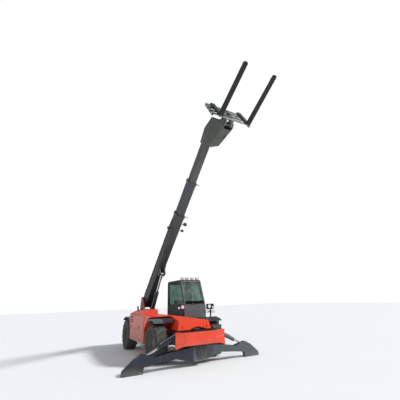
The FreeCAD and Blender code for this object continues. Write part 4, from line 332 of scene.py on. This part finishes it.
def glass(name, tint, dust, wear, frit):
    """Tinted safety glass with a dusty film, and a printed black band at the windshield's foot."""
    shade = Shade(name)
    across, along, up = shade.parts()
    film = shade.stretch(shade.noise(3.2, 8, 0.65), 0.40, 0.85, 0.0, 0.30 * wear)
    base = shade.mix(film, tint, [min(1, value * 2.2) for value in dust])
    band = shade.sum("MULTIPLY", shade.sum("LESS_THAN", up, frit), shade.sum("LESS_THAN", along, -0.74))
    base = shade.mix(band, base, (0.006, 0.006, 0.007))
    clear = shade.sum("MULTIPLY", shade.sum("SUBTRACT", 1.0, film), shade.sum("SUBTRACT", 1.0, band))
    shade.feed(shade.shader.inputs["Transmission Weight"], shade.stretch(clear, 0, 1, 0, 0.94))
    return shade.finish(base, shade.stretch(film, 0, 0.4, 0.02, 0.22), IOR=1.25, Metallic=0.0)


def lens():
    """Frosted ribs of a lamp's lens over its bright reflector."""
    shade = Shade("ribbed_lens")
    across, along, up = shade.parts()
    ribs = shade.sum("SINE", shade.sum("MULTIPLY", across, 900.0))
    cells = shade.sum("SINE", shade.sum("MULTIPLY", up, 520.0))
    base = shade.mix(shade.stretch(shade.sum("ADD", ribs, cells), -2, 2), (0.72, 0.74, 0.74), (0.95, 0.95, 0.93))
    red = shade.sum("GREATER_THAN", along, 2.0)
    base = shade.mix(red, base, (0.48, 0.012, 0.008))
    shade.bump(ribs, 0.25, 0.002)
    return shade.finish(base, 0.16, Metallic=0.0)


def weave(name, colour):
    """Woven seat fabric."""
    shade = Shade(name)
    warp = shade.sum("SINE", shade.sum("MULTIPLY", shade.parts()[0], 1500.0))
    weft = shade.sum("SINE", shade.sum("MULTIPLY", shade.parts()[1], 1500.0))
    threads = shade.sum("MULTIPLY", warp, weft)
    base = shade.mix(shade.stretch(threads, -1, 1), colour, [value * 1.7 for value in colour])
    base = shade.mix(shade.stretch(shade.noise(6, 6), 0.5, 0.75, 0, 0.4), base, (0.16, 0.15, 0.13))
    shade.bump(threads, 0.4, 0.002)
    return shade.finish(base, 0.92, Metallic=0.0, Sheen_Weight=0.3)


MATERIALS = {}


class TELEHANDLER_OT_paint(bpy.types.Operator):
    """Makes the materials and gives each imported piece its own"""

    bl_idname = "telehandler.paint"
    bl_label = "Paint the machine"

    def execute(self, context):
        tones = context.scene.telehandler_paint
        dust, wear = list(tones.dust), tones.wear
        body, faded = list(tones.body), list(tones.faded)
        MATERIALS.update({
            "body_paint": paint("body_paint", body, dust, wear, patches=0.35, gloss=0.28, dirt_top=0.85),
            # Lighter red for the bars along the beam's creases: painted highlights.
            "crease_highlight_paint": paint("crease_highlight_paint", [min(1, value * 1.2 + 0.10) for value in body], dust, wear, gloss=0.4),
            "pod_paint": paint("pod_paint", body, dust, wear, other=faded, patches=0.7, gloss=0.36, dirt_top=1.1,
                               side=(-1.13, faded)),
            "frame_paint": paint("frame_paint", list(tones.frame), dust, wear, gloss=0.45, dirt_top=1.3),
            "axle_paint": paint("axle_paint", (0.022, 0.022, 0.024), dust, wear, gloss=0.5, dirt_top=1.5),
            # Near-black stabilizer mount: partly the pivot castings' own black, partly painted shade under the beam.
            "mount_paint": paint("mount_paint", (0.014, 0.014, 0.016), dust, wear * 0.7, gloss=0.45, dirt_top=0.6),
            # Fender plastic: the grey-blue on the machine's right side is partly faded plastic and partly painted top
            # light.
            "flare_plastic": paint("flare_plastic", (0.018, 0.019, 0.021), dust, wear, other=(0.030, 0.032, 0.035),
                                   gloss=0.5, grain=420, side=(-0.9, (0.115, 0.145, 0.165))),
            "engine_paint": paint("engine_paint", (0.10, 0.10, 0.11), dust, wear, gloss=0.5),
            "cab_paint": paint("cab_paint", list(tones.cab), dust, wear, other=(0.060, 0.062, 0.066), gloss=0.38, dirt_top=1.3,
                              panel=(1.55, -0.83, (0.135, 0.140, 0.145))),
            "cab_trim": paint("cab_trim", (0.030, 0.030, 0.032), dust, wear * 0.5, gloss=0.6, grain=520),
            "lamp_black": paint("lamp_black", (0.030, 0.033, 0.036), dust, wear * 0.6, gloss=0.42, grain=300),
            "weight_paint": paint("weight_paint", (0.040, 0.042, 0.046), dust, wear, gloss=0.5, grain=60),
            "boom_paint": paint("boom_paint", list(tones.boom), dust, wear * 0.7, other=(0.085, 0.09, 0.098), gloss=0.4),
            "head_paint": paint("head_paint", (0.075, 0.078, 0.066), dust, wear, other=(0.14, 0.14, 0.12), gloss=0.5),
            # The right stabilizer leg goes navy-black beyond x -0.25: painted shade, as that leg stands in shadow.
            "leg_paint": paint("leg_paint", list(tones.leg), dust, wear, other=(0.060, 0.072, 0.088), patches=0.5,
                               gloss=0.34, dirt_top=0.20, side=(-0.25, (0.0, 0.002, 0.016))),
            "rim_paint": paint("rim_paint", (0.115, 0.117, 0.118), dust, wear * 1.1, other=(0.19, 0.19, 0.185), gloss=0.4,
                               dirt_top=1.4),
            "carriage_paint": paint("carriage_paint", (0.028, 0.030, 0.028), dust, wear, other=(0.42, 0.42, 0.40),
                                    patches=0.9, gloss=0.4, metallic=0.25),
            "fork_paint": paint("fork_paint", (0.007, 0.007, 0.008), dust, wear * 0.6, other=(0.03, 0.03, 0.03), gloss=0.42,
                                metallic=0.2),
            "rod_chrome": bare_metal("rod_chrome", (0.82, 0.83, 0.85), 0.08),
            "pin_steel": bare_metal("pin_steel", (0.42, 0.42, 0.43), 0.34, 140, 0.3),
            "cab_glass": glass("cab_glass", (0.52, 0.70, 0.62), dust, wear, 1.685),
            "lamp_glass": lens(),
            "seat_fabric": weave("seat_fabric", (0.030, 0.031, 0.035)),
            "tyre": rubber(list(tones.rubber), dust, wear),
        })
        own = {"stabilizer_mount": "mount_paint", "engine_pod": "pod_paint", "engine_hood": "pod_paint", "fenders": "flare_plastic", "boom_inner": "head_paint"}
        for entry in frame["record"]["subparts"]:
            name = entry["node"]
            material = MATERIALS[own.get(name, entry["material_slot"])]
            node = frame["nodes"][name]
            if not node.material_slots:
                node.data.materials.append(material)
            for place in node.material_slots:
                place.material = material
        return {"FINISHED"}


class TELEHANDLER_OT_fixings(bpy.types.Operator):
    """Adds the bolts, wheel nuts, pin ends and lamp rings"""

    bl_idname = "telehandler.fixings"
    bl_label = "Add fixings"

    def execute(self, context):
        sizes = context.scene.telehandler_trim
        head = sizes.bolt_radius
        steel = MATERIALS["pin_steel"]
        low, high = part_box("front_beam")
        builder = bmesh.new()
        for number in range(sizes.beam_bolts):
            x = -0.52 + 1.04 * number / (sizes.beam_bolts - 1)
            stud(builder, (x, low.y + 0.001, 0.835), (0, -1, 0), head, 0.011)
        put(builder, "beam_bolts", "chassis", steel)

        # Thin lighter bars along the beam's creases: painted highlights where the folds catch the light.
        builder = bmesh.new()
        for side in (-1, 1):
            crease = ((side * 0.578, low.y, 0.858), (side * 0.44, low.y, 0.69), (side * 0.578, low.y, 0.529))
            pipe(builder, crease, 0.005, 8)
            pipe(builder, ((side * 0.44, low.y, 0.69), (side * 0.797, low.y + 0.0695, 0.69)), 0.005, 8)
        put(builder, "beam_crease_highlights", "chassis", MATERIALS["crease_highlight_paint"])

        for end, sign in (("front", -1), ("rear", 1)):
            for side, hand in (("left", 1), ("right", -1)):
                builder = bmesh.new()
                middle = Vector((hand * (WHEEL_X + 0.0235), sign * AXLE_Y, TYRE_RADIUS))
                for number in range(sizes.wheel_nuts):
                    turn = 2 * math.pi * number / sizes.wheel_nuts
                    spoke = Vector((0, math.cos(turn), math.sin(turn))) * 0.172
                    stud(builder, middle + spoke, (hand, 0, 0), 0.019, 0.010, sides=16, bevel=0.2)
                    stud(builder, middle + spoke, (hand, 0, 0), 0.0145, 0.028)
                for number in range(6):
                    turn = 2 * math.pi * (number + 0.5) / 6
                    spoke = Vector((0, math.cos(turn), math.sin(turn))) * 0.046
                    stud(builder, middle + spoke + Vector((hand * 0.075, 0, 0)), (hand, 0, 0), 0.008, 0.008)
                put(builder, "nuts_%s_%s" % (end, side), "wheel_%s_%s" % (end, side), steel)

        builder = bmesh.new()
        for name, x, y, z, radius in ROUND_LAMPS:
            ring(builder, Vector((x, y - 0.001, z)), (0, 1, 0), radius - 0.0035, 0.0045, 40)
        put(builder, "lamp_rings", "chassis", MATERIALS["rod_chrome"])

        sections = (
            # piece, body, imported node, front end ahead of the pivot
            ("collar_bolts_outer", "boom_1", "boom_outer", 4.60),
            ("collar_bolts_middle", "boom_2", "boom_middle", 5.98),
        )
        for name, body, section, front in sections:
            low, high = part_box(section)
            half = (high.x - low.x) / 2
            builder = bmesh.new()
            for back in (0.04, 0.105):
                for up in (-0.11, -0.04, 0.04, 0.11):
                    for side in (-1, 1):
                        stud(builder, on_boom(front - back, BOOM_X + side * (half - 0.001), up), (side, 0, 0), head * 0.9, 0.009)
            put(builder, name, body, steel)
            builder = bmesh.new()
            stud(builder, on_boom(front - 0.03, high.x - 0.002, -0.14), (1, 0, -0.35), 0.014, 0.12, sides=16)
            put(builder, name.replace("bolts", "peg"), body, MATERIALS["lamp_black"])

        low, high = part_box("boom_outer")
        builder = bmesh.new()
        lamps = (
            # face of the boom, outward, ahead of the pivot, half the lamp's side
            (low.x, -1, 4.00, 0.045),
            (high.x, 1, 3.92, 0.045),
            (high.x, 1, 4.22, 0.060),
        )
        for face, side, ahead, half in lamps:
            arm = on_boom(ahead, face - side * 0.002, -0.12)
            stud(builder, arm, (side, 0, 0), 0.016, 0.06, sides=16)
            middle = arm + Vector((side * (0.055 + half), -0.01, 0))
            reach = Vector((half, 0.035, half))
            slab(builder, middle - reach, middle + reach, 0.010)
            rim = Vector((half - 0.010, 0.004, half - 0.010))
            front = middle - Vector((0, 0.037, 0))
            slab(builder, front - rim, front + rim, 0.003)
        put(builder, "boom_lamps", "boom_1", MATERIALS["lamp_black"])

        builder = bmesh.new()
        for side in (-1, 1):
            low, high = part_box("chassis_frame")
            face = low.x if side < 0 else high.x
            stud(builder, (face - side * 0.001, BOOM_PIVOT.y, BOOM_PIVOT.z), (side, 0, 0), 0.085, 0.016, sides=32, bevel=0.08)
            for number in range(4):
                turn = math.pi / 4 + math.pi / 2 * number
                spoke = Vector((side * 0.015, math.cos(turn) * 0.062, math.sin(turn) * 0.062))
                stud(builder, Vector((face, BOOM_PIVOT.y, BOOM_PIVOT.z)) + spoke, (side, 0, 0), head, 0.010)
            stud(builder, (face - side * 0.001, 1.6, 0.95), (side, 0, 0), 0.052, 0.014, sides=24, bevel=0.1)
        put(builder, "pin_caps", "chassis", steel)
        return {"FINISHED"}


class TELEHANDLER_OT_pipes(bpy.types.Operator):
    """Adds the oil pipes with their clamps and fittings"""

    bl_idname = "telehandler.pipes"
    bl_label = "Add pipes"

    def execute(self, context):
        radius = context.scene.telehandler_trim.pipe_radius
        black, steel = MATERIALS["axle_paint"], MATERIALS["pin_steel"]
        low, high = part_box("boom_outer")
        face = low.x
        builder = bmesh.new()
        for row, up in enumerate((0.03, -0.01)):
            start = on_boom(0.35 + 0.05 * row, face - radius - 0.006, up)
            end = on_boom(4.25 - 0.06 * row, face - radius - 0.006, up)
            finish = on_boom(4.36 - 0.06 * row, face + 0.01, up)
            begin = on_boom(0.24 + 0.05 * row, face + 0.01, up)
            pipe(builder, (begin, start, end, finish), radius)
        for ahead in (0.6, 1.3, 2.0, 2.7, 3.4, 4.0):
            for up in (0.052, -0.032):
                stud(builder, on_boom(ahead, face + 0.002, up), (-1, 0, 0), 0.008, 0.03)
            ends = [on_boom(ahead, face - 2 * radius - 0.008, up) for up in (0.06, -0.04)]
            pipe(builder, ends, 0.006, 8)
        put(builder, "boom_pipes", "boom_1", black)

        cylinders = (
            # piece, body, foot, top, barrel length, barrel radius, way out of the pipe
            ("lift_pipe", "lift_tube", (BOOM_X, 1.6, 0.95), (BOOM_X, 0.248, 2.7364), 1.40, 0.078, (0, 0.797, 0.603)),
            ("stab_pipe_left", "leg_tube_left", (0.62, -2.3545, 0.82), (1.61, -2.3545, 0.375), 0.74, 0.055, (0.41, 0, 0.912)),
            ("stab_pipe_right", "leg_tube_right", (-0.62, -2.5115, 0.82), (-1.61, -2.5115, 0.375), 0.74, 0.055,
             (-0.41, 0, 0.912)),
        )
        for name, body, foot, top, length, barrel, out in cylinders:
            foot, top, out = Vector(foot), Vector(top), Vector(out)
            line = (top - foot).normalized()
            lift = out * (barrel + radius * 0.8 + 0.004)
            sink = out * (barrel - 0.004)
            builder = bmesh.new()
            first, last = foot + line * (barrel * 2.2), foot + line * (length * 0.80)
            pipe(builder, (first + sink, first + lift, last + lift, last + sink), radius * 0.8)
            for place in (first, last):
                stud(builder, place + out * (barrel - 0.006), out, radius * 1.7, 0.014, sides=6)
            ring(builder, foot + line * (length - 0.022), line, barrel, barrel * 0.05, 40)
            put(builder, name, body, steel)

        builder = bmesh.new()
        for x in (-0.05, -0.02, 0.01):
            pipe(builder, ((BOOM_X + x - 0.06, 1.30, 0.93), (BOOM_X + x - 0.06, 1.30, 0.64), (BOOM_X + x - 0.06, -1.9, 0.64),
                           (BOOM_X + x - 0.06, -1.9, 0.74)), radius)
        put(builder, "belly_pipes", "chassis", black)
        return {"FINISHED"}


class TELEHANDLER_OT_trim(bpy.types.Operator):
    """Adds the wiper, handles, rails, treads, latches and vents"""

    bl_idname = "telehandler.trim"
    bl_label = "Add trim"

    def execute(self, context):
        black, steel = MATERIALS["cab_trim"], MATERIALS["pin_steel"]
        lean = Vector((0, 0.35, 0.89)).normalized()
        outward = Vector((0, -lean.z, lean.y))
        foot = Vector((0.74, -0.85, 1.56)) + outward * 0.02

        builder = bmesh.new()
        hub = foot + lean * 0.03 + Vector((-0.12, 0, 0))
        stud(builder, hub - outward * 0.03, outward, 0.024, 0.042, sides=20)
        arm = hub + lean * 0.36 + Vector((0.17, 0, 0)) + outward * 0.012
        pipe(builder, (hub + outward * 0.008, hub + outward * 0.02 + lean * 0.02, arm), 0.006, 8)
        blade = [arm + lean * step - outward * (0.012 if step else 0.010) for step in (-0.26, 0.0, 0.24)]
        pipe(builder, blade, 0.008, 8)
        put(builder, "wiper", "chassis", black)

        low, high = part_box("cab_door")
        builder = bmesh.new()
        y, x = low.y + 0.10, high.x
        slab(builder, (x - 0.004, y - 0.03, 1.40), (x + 0.010, y + 0.09, 1.47))
        pipe(builder, ((x + 0.008, y, 1.435), (x + 0.03, y, 1.435), (x + 0.03, y + 0.075, 1.435), (x + 0.008, y + 0.075, 1.435)),
             0.007, 8)
        put(builder, "door_handle", "door", black)

        low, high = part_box("cab_shell")
        builder = bmesh.new()
        x, y = high.x - 0.002, -0.755
        pipe(builder, ((x, y, 1.02), (x + 0.028, y, 1.02), (x + 0.028, y, 1.50), (x, y, 1.50)), 0.011)
        y = 0.62
        pipe(builder, ((x, y, 1.10), (x + 0.028, y, 1.10), (x + 0.028, y, 1.90), (x, y, 1.90)), 0.011)
        put(builder, "grab_rails", "chassis", black)

        builder = bmesh.new()
        for z in (0.4512, 0.5462):
            for row in range(4):
                for place in range(9):
                    stud(builder, (0.99 + 0.034 * row, -0.575 + 0.037 * place, z - 0.001), (0, 0, 1), 0.008, 0.005, sides=6)
        put(builder, "step_treads", "chassis", steel)

        builder = bmesh.new()
        verts = [builder.verts.new((-1.165, y, z)) for y, z in (
            (-0.853, 0.822), (-0.508, 0.822), (-0.508, 1.262), (-0.853, 1.270))]
        face = builder.faces.new(verts)
        bmesh.ops.inset_region(builder, faces=[face], thickness=0.03, depth=0.0)
        bmesh.ops.inset_region(builder, faces=[face], thickness=0.006, depth=-0.004)
        bmesh.ops.solidify(builder, geom=builder.faces[:], thickness=0.008)
        put(builder, "pod_side_panel", "chassis", MATERIALS["pod_paint"], smooth=False)

        builder = bmesh.new()
        pipe(builder, ((-1.163, -0.505, 0.817), (-1.163, 0.955, 0.817)), 0.006, 8)
        pipe(builder, ((-1.163, -0.505, 0.817), (-1.163, -0.505, 1.255)), 0.005, 8)
        put(builder, "hood_seal", "chassis", black)

        builder = bmesh.new()
        low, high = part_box("cab_door")
        face = high.x + 0.001
        for z in (low.z + 0.16, high.z - 0.22):
            stud(builder, (face + 0.004, high.y - 0.004, z - 0.035), (0, 0, 1), 0.011, 0.07, sides=16)
            slab(builder, (face - 0.006, high.y - 0.075, z - 0.028), (face + 0.004, high.y - 0.006, z + 0.028), 0.003)
        put(builder, "door_hinges", "door", black)

        builder = bmesh.new()
        slab(builder, (0.885, -1.435, 1.395), (1.175, -1.425, 1.575), 0.03)
        slab(builder, (0.0, -0.856, 1.405), (0.285, -0.848, 1.568), 0.03)
        put(builder, "lamp_shrouds", "chassis", MATERIALS["lamp_black"])

        low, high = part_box("engine_hood")
        builder = bmesh.new()
        for y in (-0.30, 0.70):
            slab(builder, (low.x - 0.009, y - 0.035, 0.86), (low.x + 0.004, y + 0.035, 0.92), 0.005)
            stud(builder, (low.x - 0.008, y, 0.89), (-1, 0, 0), 0.014, 0.006, sides=16)
        put(builder, "hood_latches", "hood", black)

        builder = bmesh.new()
        stud(builder, (-0.80, 0.62, high.z - 0.03), (0, 0, 1), 0.045, 0.060, sides=28, bevel=0.15)
        pipe(builder, ((-0.92, 0.76, high.z - 0.05), (-0.92, 0.76, high.z + 0.05), (-0.92, 0.84, high.z + 0.09)), 0.030, 20)
        put(builder, "hood_outlet", "hood", MATERIALS["axle_paint"])

        builder = bmesh.new()
        curve = [on_boom(ahead, BOOM_X + 0.114, up) for ahead, up in (
            (7.75, -0.46), (7.72, -0.93), (8.30, -1.03), (8.27, -0.60))]
        pipe(builder, interpolate_bezier(*curve, 15), 0.013, 12)
        for end in (curve[0], curve[3]):
            stud(builder, end - Vector((0.028, 0, 0)), (1, 0, 0), 0.022, 0.044)
        put(builder, "head_hose", "boom_3", MATERIALS["axle_paint"])
        return {"FINISHED"}


class TELEHANDLER_OT_seat(bpy.types.Operator):
    """Replaces the plain seat solids by padded cushions"""

    bl_idname = "telehandler.seat"
    bl_label = "Pad the seat"

    def execute(self, context):
        low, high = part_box("seat_cushions")
        pads = (
            # name, lowest corner, highest corner, thin axis
            ("seat_pad", Vector((low.x, low.y, low.z)), Vector((high.x, high.y - 0.117, low.z + 0.115)), 2),
            ("back_pad", Vector((low.x + 0.01, high.y - 0.114, low.z + 0.08)), Vector((high.x - 0.01, high.y, high.z)), 1),
        )
        for name, first, last, thin in pads:
            shrink = Vector((0.014, 0.014, 0.014))
            shrink[thin] = 0.024
            builder = bmesh.new()
            size = last - first - 2 * shrink
            matrix = Matrix.Translation((first + last) / 2) @ Matrix.Diagonal((*size, 1))
            verts = bmesh.ops.create_cube(builder, size=1, matrix=matrix)["verts"]
            edges = list({edge for vert in verts for edge in vert.link_edges})
            bmesh.ops.bevel(builder, geom=edges, offset=0.02, affect="EDGES", segments=3, profile=0.5, material=-1)
            pad = put(builder, name, "chassis", MATERIALS["seat_fabric"])
            self.swell(context, pad)
            smooth = pad.modifiers.new("smooth", "SUBSURF")
            smooth.levels = smooth.render_levels = 1
            for face in pad.data.polygons:
                face.use_smooth = True
            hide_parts("seat_cushions")
        return {"FINISHED"}

    def swell(self, context, pad):
        """Remeshes the pad and blows it up a little with a short cloth simulation."""
        remesh = pad.modifiers.new("remesh", "REMESH")
        remesh.mode = "VOXEL"
        remesh.voxel_size = 0.009
        self.apply(context, pad)
        before = [vert.co.copy() for vert in pad.data.vertices]
        cloth = pad.modifiers.new("cloth", "CLOTH")
        cloth.settings.use_pressure = True
        cloth.settings.uniform_pressure_force = 4
        cloth.settings.effector_weights.gravity = 0
        cloth.settings.quality = 4
        cloth.point_cache.frame_start = 1
        cloth.point_cache.frame_end = 20
        for number in range(1, 21):
            context.scene.frame_set(number)
        self.apply(context, pad)
        context.scene.frame_set(1)
        for vert, start in zip(pad.data.vertices, before):
            move = vert.co - start
            if move.length > PAD_LOFT:
                vert.co = start + move.normalized() * PAD_LOFT

    def apply(self, context, pad):
        """Keeps what the modifiers make of the pad."""
        graph = context.evaluated_depsgraph_get()
        mesh = bpy.data.meshes.new_from_object(pad.evaluated_get(graph))
        pad.modifiers.clear()
        pad.data = mesh


class TELEHANDLER_OT_stage(bpy.types.Operator):
    """Sets the camera, the floor and the soft light"""

    bl_idname = "telehandler.stage"
    bl_label = "Set the stage"

    def execute(self, context):
        scene = context.scene
        lens_data = bpy.data.cameras.new("photo_camera")
        lens_data.lens = 23.639
        lens_data.sensor_width = 36.0
        lens_data.clip_end = 200
        camera = bpy.data.objects.new("photo_camera", lens_data)
        scene.collection.objects.link(camera)
        yaw, pitch, roll = 0.50474, 0.36272, -0.030315
        level = Vector((math.sin(yaw), math.cos(yaw), 0))
        right = Vector((math.cos(yaw), -math.sin(yaw), 0))
        view = level * math.cos(pitch) + Vector((0, 0, 1)) * math.sin(pitch)
        top = Vector((0, 0, 1)) * math.cos(pitch) - level * math.sin(pitch)
        side = right * math.cos(roll) + top * math.sin(roll)
        crown = top * math.cos(roll) - right * math.sin(roll)
        matrix = Matrix((side, crown, -view)).transposed().to_4x4()
        matrix.translation = Vector((-4.0257, -10.0809, 1.7155))
        camera.matrix_world = matrix
        scene.camera = camera

        builder = bmesh.new()
        bmesh.ops.create_grid(builder, x_segments=1, y_segments=1, size=60)
        mesh = bpy.data.meshes.new("floor")
        builder.to_mesh(mesh)
        builder.free()
        floor = bpy.data.objects.new("floor", mesh)
        scene.collection.objects.link(floor)
        ground = Shade("pale_floor")
        mesh.materials.append(ground.finish(
            ground.mix(ground.noise(0.8, 3), (0.92, 0.92, 0.91), (0.95, 0.95, 0.94)), 0.85))

        world = bpy.data.worlds.new("studio")
        scene.world = world
        world.use_nodes = True
        nodes, links = world.node_tree.nodes, world.node_tree.links
        soft = nodes["Background"]
        soft.inputs[0].default_value = (0.86, 0.93, 1.0, 1)
        soft.inputs[1].default_value = 0.42
        plain = nodes.new("ShaderNodeBackground")
        plain.inputs[0].default_value = (1, 1, 1, 1)
        plain.inputs[1].default_value = 1.0
        path = nodes.new("ShaderNodeLightPath")
        chosen = nodes.new("ShaderNodeMixShader")
        links.new(path.outputs["Is Camera Ray"], chosen.inputs[0])
        links.new(soft.outputs[0], chosen.inputs[1])
        links.new(plain.outputs[0], chosen.inputs[2])
        links.new(chosen.outputs[0], nodes["World Output"].inputs[0])
        for name, turn, power, width in (("key", (50, 0, 60), 2.8, 10), ("fill", (62, 0, -62), 0.22, 40)):
            light = bpy.data.lights.new(name, "SUN")
            light.energy = power
            light.angle = math.radians(width)
            lamp = bpy.data.objects.new(name, light)
            lamp.rotation_euler = [math.radians(value) for value in turn]
            scene.collection.objects.link(lamp)
        scene.view_settings.view_transform = "Standard"
        return {"FINISHED"}


class TELEHANDLER_PT_panel(bpy.types.Panel):
    """Sidebar panel with the colours, the sizes and the steps"""

    bl_idname = "TELEHANDLER_PT_panel"
    bl_label = "Telehandler"
    bl_space_type = "VIEW_3D"
    bl_region_type = "UI"
    bl_category = "Telehandler"

    def draw(self, context):
        layout = self.layout
        for group in (context.scene.telehandler_paint, context.scene.telehandler_trim):
            column = layout.column(align=True)
            for name in group.__annotations__:
                column.prop(group, name)
        for operator in OPERATORS:
            layout.operator(operator.bl_idname)


OPERATORS = (
    TELEHANDLER_OT_paint,
    TELEHANDLER_OT_seat,
    TELEHANDLER_OT_fixings,
    TELEHANDLER_OT_pipes,
    TELEHANDLER_OT_trim,
    TELEHANDLER_OT_stage,
)
GROUPS = (PaintColours, TrimSizes)


def register():
    """Adds the settings, the steps and the panel."""
    for kind in GROUPS + OPERATORS + (TELEHANDLER_PT_panel,):
        bpy.utils.register_class(kind)
    bpy.types.Scene.telehandler_paint = bpy.props.PointerProperty(type=PaintColours)
    bpy.types.Scene.telehandler_trim = bpy.props.PointerProperty(type=TrimSizes)


def unregister():
    """Takes them away again."""
    del bpy.types.Scene.telehandler_trim
    del bpy.types.Scene.telehandler_paint
    for kind in reversed(GROUPS + OPERATORS + (TELEHANDLER_PT_panel,)):
        bpy.utils.unregister_class(kind)


def main():
    """Runs every step in order."""
    register()
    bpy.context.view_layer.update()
    bpy.ops.telehandler.paint()
    bpy.ops.telehandler.seat()
    bpy.ops.telehandler.fixings()
    bpy.ops.telehandler.pipes()
    bpy.ops.telehandler.trim()
    bpy.ops.telehandler.stage()


if __name__ == "__main__":
    main()
